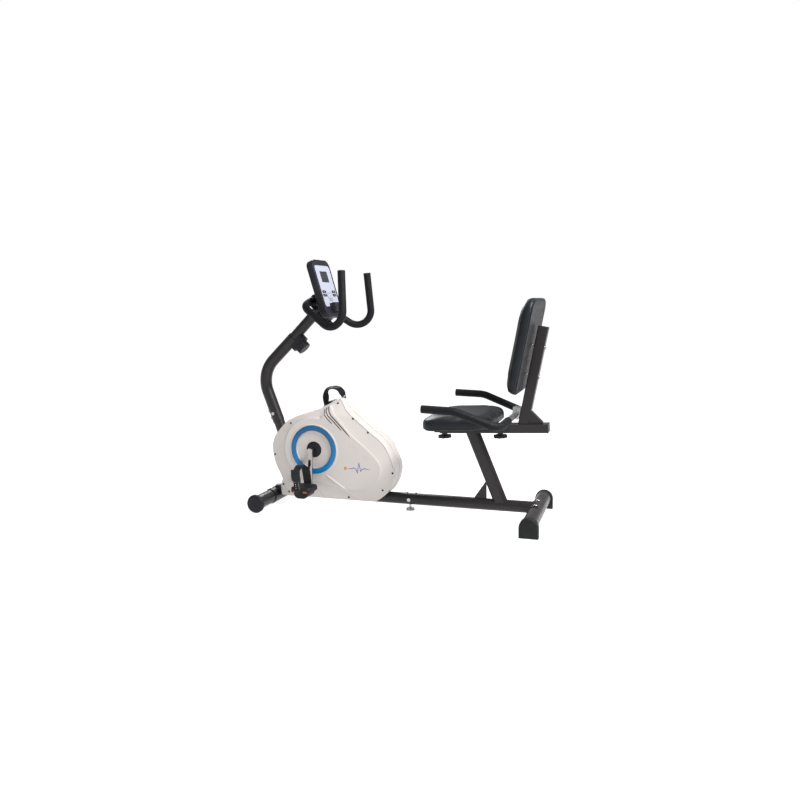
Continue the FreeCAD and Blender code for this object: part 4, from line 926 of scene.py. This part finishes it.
def piping(name, cushion, place, pad, height, radius):
    """A welt sewn round a cushion, laid on the surface that the stuffing gave it."""
    tree = surface_of(cushion)
    around = smooth_line([Vector((p.x, p.y, 0)) for p in rounded_plan(pad, 8)], 2, closed=True)
    centre_x = (pad.low + pad.high) / 2
    line = []
    for p in around:
        begin = place((p.x - centre_x) * 1.25 + centre_x, p.y * 1.25, height)
        inward = place(p.x, p.y, height)
        hit = tree.ray_cast(begin, (inward - begin).normalized())[0]
        spot = hit if hit else inward
        if not line or (spot - line[-1]).length > 1.5 * MM:
            line.append(spot)
    dress(tube_piece(name, line, radius * MM, 10, closed=True), "vinyl", "seat")


def panel_plate(place, pad):
    """A thin moulded back that shuts a cushion's underside."""
    plan = rounded_plan(pad, 10)
    depth = pad.thick
    levels = [(0.4, 0.0), (-depth * 0.5, 0.0), (-depth, depth), (-depth, 14.0), (-depth * 0.6, 16.0)]
    verts = [place(p.x, p.y, up) for up, inset in levels for p in plan_at(plan, inset, pad)]
    return weld(mesh_piece("plate", verts, ring_faces(len(levels), len(plan))))


def make_cushions():
    seat = make_cushion("seat_pad", "seat_cushion", seat_place, SEAT_PAD)
    piping("seat_welt", seat, seat_place, SEAT_PAD, 8.0, 1.7)
    back = make_cushion("back_pad", "backrest_cushion", back_place, BACK_PAD)
    piping("back_welt", back, back_place, BACK_PAD, 34.0, 1.6)
    piping("back_rear_welt", back, back_place, BACK_PAD, 6.0, 1.5)
    plates = [panel_plate(seat_place, SEAT_PLATE), panel_plate(back_place, BACK_PLATE)]
    dress(joined("cushion_back_plates", plates), "black_plastic", "seat", "cushion_boards")


# ---- carrying strap
STRAP_SPINE = [(281, 0, 466), (280, 0, 492), (281, 0, 520), (285, 0, 541), (298, 0, 555), (320, 0, 561),
               (342, 0, 558), (356, 0, 548), (366, 0, 531), (372, 0, 510)]
STRAP_WIDTH, STRAP_END_WIDTH, STRAP_THICK = 35.0, 20.0, 4.6
STRAP_TURNS = [(0.0, 84), (0.22, 72), (0.5, 12), (0.78, 18), (1.0, 40)]
STRAP_HALF_STEPS = 12
STRAP_RIVETS = [((281, 0, 478), (0.12, -1, 0)), ((371, 0, 520), (0.45, -0.9, 0.1))]


def make_carry_strap():
    """Webbing bent in a low arch: full width over the top, narrow where each end is screwed down."""
    line = smooth_line(STRAP_SPINE, 10)
    count = len(line)
    shares = [k / STRAP_HALF_STEPS - 0.5 for k in range(STRAP_HALF_STEPS + 1)]
    section = [(s, 0.5) for s in shares] + [(s, -0.5) for s in reversed(shares)]
    verts = []
    for i, p in enumerate(line):
        along = (line[min(i + 1, count - 1)] - line[max(i - 1, 0)]).normalized()
        t = i / (count - 1)
        broad = float(ease((t - 0.06) / 0.14)) * float(ease((0.95 - t) / 0.12))
        width = STRAP_END_WIDTH + (STRAP_WIDTH - STRAP_END_WIDTH) * broad
        outward = along.cross(Vector((0, 1, 0))).normalized()
        turn = math.radians(float(np.interp(t, *zip(*STRAP_TURNS))))
        across = Vector((0, math.cos(turn), 0)) + outward * math.sin(turn)
        up = along.cross(across).normalized()
        for s, h in section:
            rib = 0.25 * math.cos(s * 2 * math.pi * 5) * (1 if h > 0 else -1)
            verts.append(at(*(p + across * s * width + up * (h * STRAP_THICK + rib * (0.5 - abs(s))))))
    strap = weld(mesh_piece("carry_webbing", verts, ring_faces(count, len(section))))
    dress(strap, "webbing", "root", "carry_strap")
    ends = []
    for spot, lean in STRAP_RIVETS:
        for flip in (1, -1):
            axis = Vector(lean).normalized() * flip
            ends.append(screw_head(at(*(Vector(spot) + axis * 1.7)), axis, 3.8))
    dress(joined("carry_strap_screws", ends), "steel", "root")


# ---- console
def console_point(out, y, up):
    return leaned(-15.9, 280.3, 1111.2, out, y, up)


CONSOLE_FRONT = ["console_face", "console_display", "button_up_left", "button_down_left", "button_up_right",
                 "button_down_right", "button_enter"]
CONSOLE_CLEAR = 60


def front_of_console(trees, y, up):
    """How far the console's front stands out at a place on it."""
    start = console_point(CONSOLE_CLEAR, y, up)
    aim = (console_point(-CONSOLE_CLEAR, y, up) - start).normalized()
    gaps = [gap for gap in (tree.ray_cast(start, aim)[3] for tree in trees) if gap is not None]
    return CONSOLE_CLEAR - min(gaps) / MM if gaps else 0.0


def raised_bar(trees, start, stop, width, lift=0.25):
    """A small raised bar on the console between two (y, up) places."""
    (ya, za), (yb, zb) = start, stop
    along = Vector((yb - ya, zb - za)).normalized()
    side = Vector((-along.y, along.x)) * width / 2
    steps = max(2, int(math.hypot(yb - ya, zb - za) / 3) + 1)
    verts = []
    for i in range(steps):
        t = i / (steps - 1)
        y, up = ya + (yb - ya) * t, za + (zb - za) * t
        out = front_of_console(trees, y, up)
        for s, rise in ((-1.0, -0.3), (-0.85, lift), (0.85, lift), (1.0, -0.3)):
            verts.append(console_point(out + rise, y + side.x * s, up + side.y * s))
    return weld(mesh_piece("bar", verts, strip_faces(steps)))


DIGIT_LEFT, DIGIT_PITCH, DIGIT_WIDE, DIGIT_TALL, DIGIT_STROKE = -29, 15, 8.5, 13, 1.7
SEGMENTS = {
    "top": ((0, 1), (1, 1)), "upper_left": ((0, 1), (0, 0.5)), "upper_right": ((1, 1), (1, 0.5)),
    "middle": ((0, 0.5), (1, 0.5)), "lower_left": ((0, 0.5), (0, 0)), "lower_right": ((1, 0.5), (1, 0)),
    "bottom": ((0, 0), (1, 0)),
}
DIGITS = {
    "0": ("top", "upper_left", "upper_right", "lower_left", "lower_right", "bottom"),
    "2": ("top", "upper_right", "middle", "lower_left", "bottom"),
    "5": ("top", "upper_left", "middle", "lower_right", "bottom"),
    "8": tuple(SEGMENTS),
}


def digit_bars(trees, digit, y, up):
    bars = []
    for part in DIGITS[digit]:
        (a, b), (c, d) = SEGMENTS[part]
        start = Vector((y + a * DIGIT_WIDE, up + b * DIGIT_TALL))
        stop = Vector((y + c * DIGIT_WIDE, up + d * DIGIT_TALL))
        gap = (stop - start).normalized() * DIGIT_STROKE * 0.62
        bars.append(raised_bar(trees, start + gap, stop - gap, DIGIT_STROKE, 0.15))
    return bars


LCD_ROWS = [("2005", -46), ("0280", -70)]
# Painted shadow: dark bars along the display's top and one side, where the bezel shades it.
LCD_FRAME_SHADE = [((36, -30), (36, -75), 6.0), ((-36, -28.5), (36, -28.5), 2.4)]
SIDE_LINES = [((30, -128), (10, -128), 1.6), ((27, -143), (27, -131), 1.4), ((27, -143), (14, -155), 1.4)]
MIDDLE_LINES = [((-10, -128), (10, -128), 1.6), ((-14, -155), (14, -155), 1.6),
                ((-20, -161), (20, -161), 2.4)]
BUTTON_Y = 50
BUTTON_ROWS = [(-122, "up", 1), (-138, "down", -1)]
ENTER_MARK = [((-6, -142), (6, -142), 2.0), ((4, -138.5), (4, -142), 1.6)]


def make_display_marks(trees):
    bars = []
    for text, up in LCD_ROWS:
        for i, digit in enumerate(text):
            bars += digit_bars(trees, digit, DIGIT_LEFT + DIGIT_PITCH * i, up)
    dress(joined("lcd_digits", bars), "display", "root", material=LCD_INK_AND_SHADE)
    # Painted shadow of the bezel on the display.
    bars = [raised_bar(trees, start, stop, width, 0.12) for start, stop, width in LCD_FRAME_SHADE]
    dress(joined("lcd_frame_shadow", bars), "display", "root", material=LCD_INK_AND_SHADE)


def make_button_marks(trees):
    """An arrow and a dash on each side button, and a bent arrow on the middle one."""
    for side, end in ((-1, "left"), (1, "right")):
        y = side * BUTTON_Y
        for up, kind, turn in BUTTON_ROWS:
            tip, foot = up + 1.8 * turn, up - 1.6 * turn
            marks = [raised_bar(trees, start, stop, 1.5) for start, stop in (
                ((y - 4, foot), (y, tip)), ((y, tip), (y + 4, foot)), ((y - 10, up), (y - 7, up)))]
            mark = joined(f"button_mark_{kind}_{end}", marks)
            dress(mark, "face_white", f"button_{kind}_{end}", material=PRINT_LIGHT)
    marks = [raised_bar(trees, *line) for line in ENTER_MARK]
    dress(joined("button_mark_enter", marks), "black_plastic", "button_enter", material=PRINT_DARK)


def make_console_marks():
    trees = [surface_of(frame["nodes"][node]) for node in CONSOLE_FRONT]
    make_display_marks(trees)
    lines = [((side * a, b), (side * c, d), width)
             for side in (-1, 1) for (a, b), (c, d), width in SIDE_LINES]
    bars = [raised_bar(trees, *line) for line in lines + MIDDLE_LINES]
    dress(joined("console_outlines", bars), "black_plastic", "root", material=PRINT_DARK)
    make_button_marks(trees)


# ---- pedals
Pedal = namedtuple("Pedal", "end body centre turn")
PEDALS = [Pedal("left", "pedal_left", (234.5, -163.0, 120.95), 1),
          Pedal("right", "pedal_right", (248.5, 163.0, 440.65), -1)]
PEDAL_CLEAR = 90


def pedal_point(pedal, x, y, z):
    return at(pedal.centre[0] + x, pedal.centre[1] + y * pedal.turn, pedal.centre[2] + z * pedal.turn)


def outer_side(tree, pedal, x, z):
    """How far out a pedal piece's outer side stands at a place on it."""
    start, aim = pedal_point(pedal, x, -PEDAL_CLEAR, z), pedal_point(pedal, x, 0, z)
    hit = tree.ray_cast(start, (aim - start).normalized())
    return -PEDAL_CLEAR + hit[3] / MM if hit[0] is not None else None


TREAD_RIBS, TREAD_PITCH, TREAD_Y, TREAD_Z = 7, 12, 34, 13.0
REFLECTOR_X = (-24.0, 24.0)
REFLECTOR_WIDE, REFLECTOR_TALL, REFLECTOR_LOW = 18, 9, -9.5
PEDAL_FACE, STRAP_FACE = -46.4, -48.0
PAD_LOW, PAD_TALL, PAD_HALF, PAD_DOME = 44, 52, 22, 2.6
PEG_LOW, PEG_PITCH = 12, 9
PEG_PROFILE = [(-0.6, 0.0), (-0.6, 1.9), (0.5, 1.7), (0.8, 1.0), (0.8, 0.0)]


def make_tread(pedal):
    ribs = []
    for i in range(TREAD_RIBS):
        x = TREAD_PITCH * (i - TREAD_RIBS // 2)
        for y in (-TREAD_Y, TREAD_Y):
            line = [pedal_point(pedal, x, y + 9 * s, TREAD_Z) for s in (-1, -0.3, 0.3, 1)]
            ribs.append(tube_piece("rib", line, 1.5 * MM, 8))
    dress(joined(f"pedal_tread_{pedal.end}", ribs), "black_plastic", pedal.body, material=PEDAL_BLACK)


def make_reflectors(pedal):
    """Two bulged amber panes on the pedal's outer side."""
    tree = surface_of(frame["nodes"][pedal.body])
    rows, columns = 9, 17
    panes = []
    for middle_x in REFLECTOR_X:
        verts = []
        for i in range(rows):
            t = i / (rows - 1)
            for j in range(columns):
                s = j / (columns - 1)
                bulge = 1.2 * math.sin(math.pi * t) ** 0.5 * math.sin(math.pi * s) ** 0.5
                x, z = middle_x + REFLECTOR_WIDE * (s - 0.5), REFLECTOR_LOW + REFLECTOR_TALL * t
                out = outer_side(tree, pedal, x, z) or PEDAL_FACE
                verts.append(pedal_point(pedal, x, out - 0.6 - bulge, z))
        panes.append(mesh_piece("pane", verts, grid_faces(rows, columns, False)))
    whole = thickened(joined(f"pedal_reflectors_{pedal.end}", panes), 1.2)
    dress(whole, "black_plastic", pedal.body, material=AMBER)


def strap_middle(z):
    """The strap leans forward as it rises."""
    return -4 - 12 * (z + 16) / 100


def make_strap_pad(pedal, tree):
    """A ribbed grip pad on the upper part of the strap's outer leg."""
    rows, columns = 41, 17
    verts = []
    for i in range(rows):
        z = PAD_LOW + PAD_TALL * i / (rows - 1)
        leg = outer_side(tree, pedal, strap_middle(z), min(z, 82)) or STRAP_FACE
        rib = 0.7 * math.cos(2 * math.pi * i / 5)
        narrow = 1.0 - 0.14 * float(ease((abs(2 * i / (rows - 1) - 1) - 0.8) / 0.2))
        for j in range(columns):
            s = 2 * j / (columns - 1) - 1
            out = leg - 0.4 - PAD_DOME * (1 - abs(s) ** 6) + rib * (1 - abs(s) ** 4)
            verts.append(pedal_point(pedal, strap_middle(z) + PAD_HALF * s * narrow, out, z))
    pad = mesh_piece(f"strap_pad_{pedal.end}", verts, grid_faces(rows, columns, False))
    dress(thickened(pad, 1.6), "rubber", pedal.body, material=PEDAL_BLACK)


def make_strap_pegs(pedal, tree):
    """The pegs in the two rows of holes that set the strap's size."""
    pegs = []
    for z in (PEG_LOW + PEG_PITCH * i for i in range(4)):
        for x in (strap_middle(z) - 8, strap_middle(z) + 8):
            leg = outer_side(tree, pedal, x, z)
            if leg is not None:
                place = pedal_point(pedal, x, leg, z)
                pegs.append(turned("peg", PEG_PROFILE, place, (0, -pedal.turn, 0), 24))
    pegs = joined(f"strap_pegs_{pedal.end}", pegs)
    dress(pegs, "rubber", pedal.body, material=MATERIALS["steel"])


def make_pedal_details():
    for pedal in PEDALS:
        make_tread(pedal)
        make_reflectors(pedal)
        strap = surface_of(frame["nodes"]["pedal_strap_" + pedal.end])
        make_strap_pad(pedal, strap)
        make_strap_pegs(pedal, strap)


# ---- small fittings
POST_BOLT_AT = (15.9, -25.6, 434)
HUB_FINS = 10
HUB_FIN_Y = 72.0


def make_fittings():
    """A brass bolt head in the post's side, and the fins of the two hub caps."""
    bolt = joined("post_side_bolt", [screw_head(at(*POST_BOLT_AT), (0, -1, 0), 7.5)])
    dress(bolt, "steel", "root", material=BRASS)
    fins = []
    for side in (-1, 1):
        for k in range(HUB_FINS):
            a = 2 * math.pi * (k + 0.5) / HUB_FINS
            line = [at(CRANK_AT[0] + r * math.cos(a), side * HUB_FIN_Y, CRANK_AT[1] + r * math.sin(a))
                    for r in (19, 24, 29, 33)]
            fins.append(tube_piece("fin", line, 0.9 * MM, 8))
    dress(joined("hub_fins", fins), "black_plastic", "crank")


# ---- stage, light and camera
CAMERA_AT = (1675.4, -2953.35, 931.9)
CAMERA_YAW = 19.29
CAMERA_PITCH = 7.68
CAMERA_ROLL = -1.27
CAMERA_LENS = 31.993
AMBIENT = 0.42
FLOOR_HALF = 60
FLOOR_GLOW = 0.89
# Each area light's name, place, target, size and power.
LIGHTS = [
    ("key", (2.1, -0.75, 2.7), (-0.1, 0, 0.4), (1.2, 0.9), 185),
    ("front", (-1.4, -3.6, 1.2), (0, 0, 0.45), (2.0, 1.2), 6),
    ("rim", (-1.6, 2.2, 2.2), (0, 0, 0.6), (1.6, 1.0), 60),
]


def make_camera():
    yaw, pitch, roll = (math.radians(a) for a in (CAMERA_YAW, CAMERA_PITCH, CAMERA_ROLL))
    forward = Vector((-math.sin(yaw) * math.cos(pitch), math.cos(yaw) * math.cos(pitch), -math.sin(pitch)))
    right = forward.cross(Vector((0, 0, 1))).normalized()
    up = right.cross(forward)
    right_rolled = right * math.cos(roll) + up * math.sin(roll)
    up_rolled = up * math.cos(roll) - right * math.sin(roll)
    data = bpy.data.cameras.new("camera")
    data.lens = CAMERA_LENS
    data.sensor_width = 36.0
    camera = put("camera", data)
    turn = Matrix((right_rolled, up_rolled, -forward)).transposed().to_4x4()
    camera.matrix_world = Matrix.Translation(at(*CAMERA_AT)) @ turn
    bpy.context.scene.camera = camera


def area_light(name, place, target, size, power):
    data = bpy.data.lights.new(name, "AREA")
    data.shape = "RECTANGLE"
    data.size, data.size_y = size
    data.energy = power
    light = put(name, data)
    light.location = place
    light.rotation_euler = (Vector(target) - Vector(place)).to_track_quat("-Z", "Y").to_euler()


def make_world():
    """White to look at, and a softer white as the light that falls on the object."""
    world = bpy.data.worlds.new("studio")
    world.use_nodes = True
    tree = world.node_tree
    seen = tree.nodes["Background"]
    seen.inputs["Color"].default_value = (1.0, 1.0, 1.0, 1.0)
    seen.inputs["Strength"].default_value = 1.0
    light = tree.nodes.new("ShaderNodeBackground")
    light.inputs["Color"].default_value = (0.97, 0.98, 1.0, 1.0)
    light.inputs["Strength"].default_value = AMBIENT
    path = tree.nodes.new("ShaderNodeLightPath")
    mix = tree.nodes.new("ShaderNodeMixShader")
    tree.links.new(path.outputs["Is Camera Ray"], mix.inputs["Fac"])
    tree.links.new(light.outputs["Background"], mix.inputs[1])
    tree.links.new(seen.outputs["Background"], mix.inputs[2])
    tree.links.new(mix.outputs["Shader"], tree.nodes["World Output"].inputs["Surface"])
    bpy.context.scene.world = world


def make_stage():
    bpy.context.scene.view_settings.view_transform = "Standard"
    corners = [(x * FLOOR_HALF, y * FLOOR_HALF, 0) for x, y in ((-1, -1), (1, -1), (1, 1), (-1, 1))]
    floor = mesh_piece("floor", corners, [(0, 1, 2, 3)])
    look = Look("pale_floor", (0.32, 0.32, 0.32), 0.9, shine=0.1)
    look.mottle(1.5, 0.4, (0.31, 0.31, 0.312), low=0.3)
    look.shader.inputs["Emission Color"].default_value = (1.0, 1.0, 1.0, 1.0)
    look.shader.inputs["Emission Strength"].default_value = FLOOR_GLOW
    floor.data.materials.append(look.material)
    make_world()
    for light in LIGHTS:
        area_light(*light)


dress_cad_nodes()
make_covers()
make_rings()
make_cushions()
make_carry_strap()
make_console_marks()
make_pedal_details()
make_fittings()
make_camera()
make_stage()
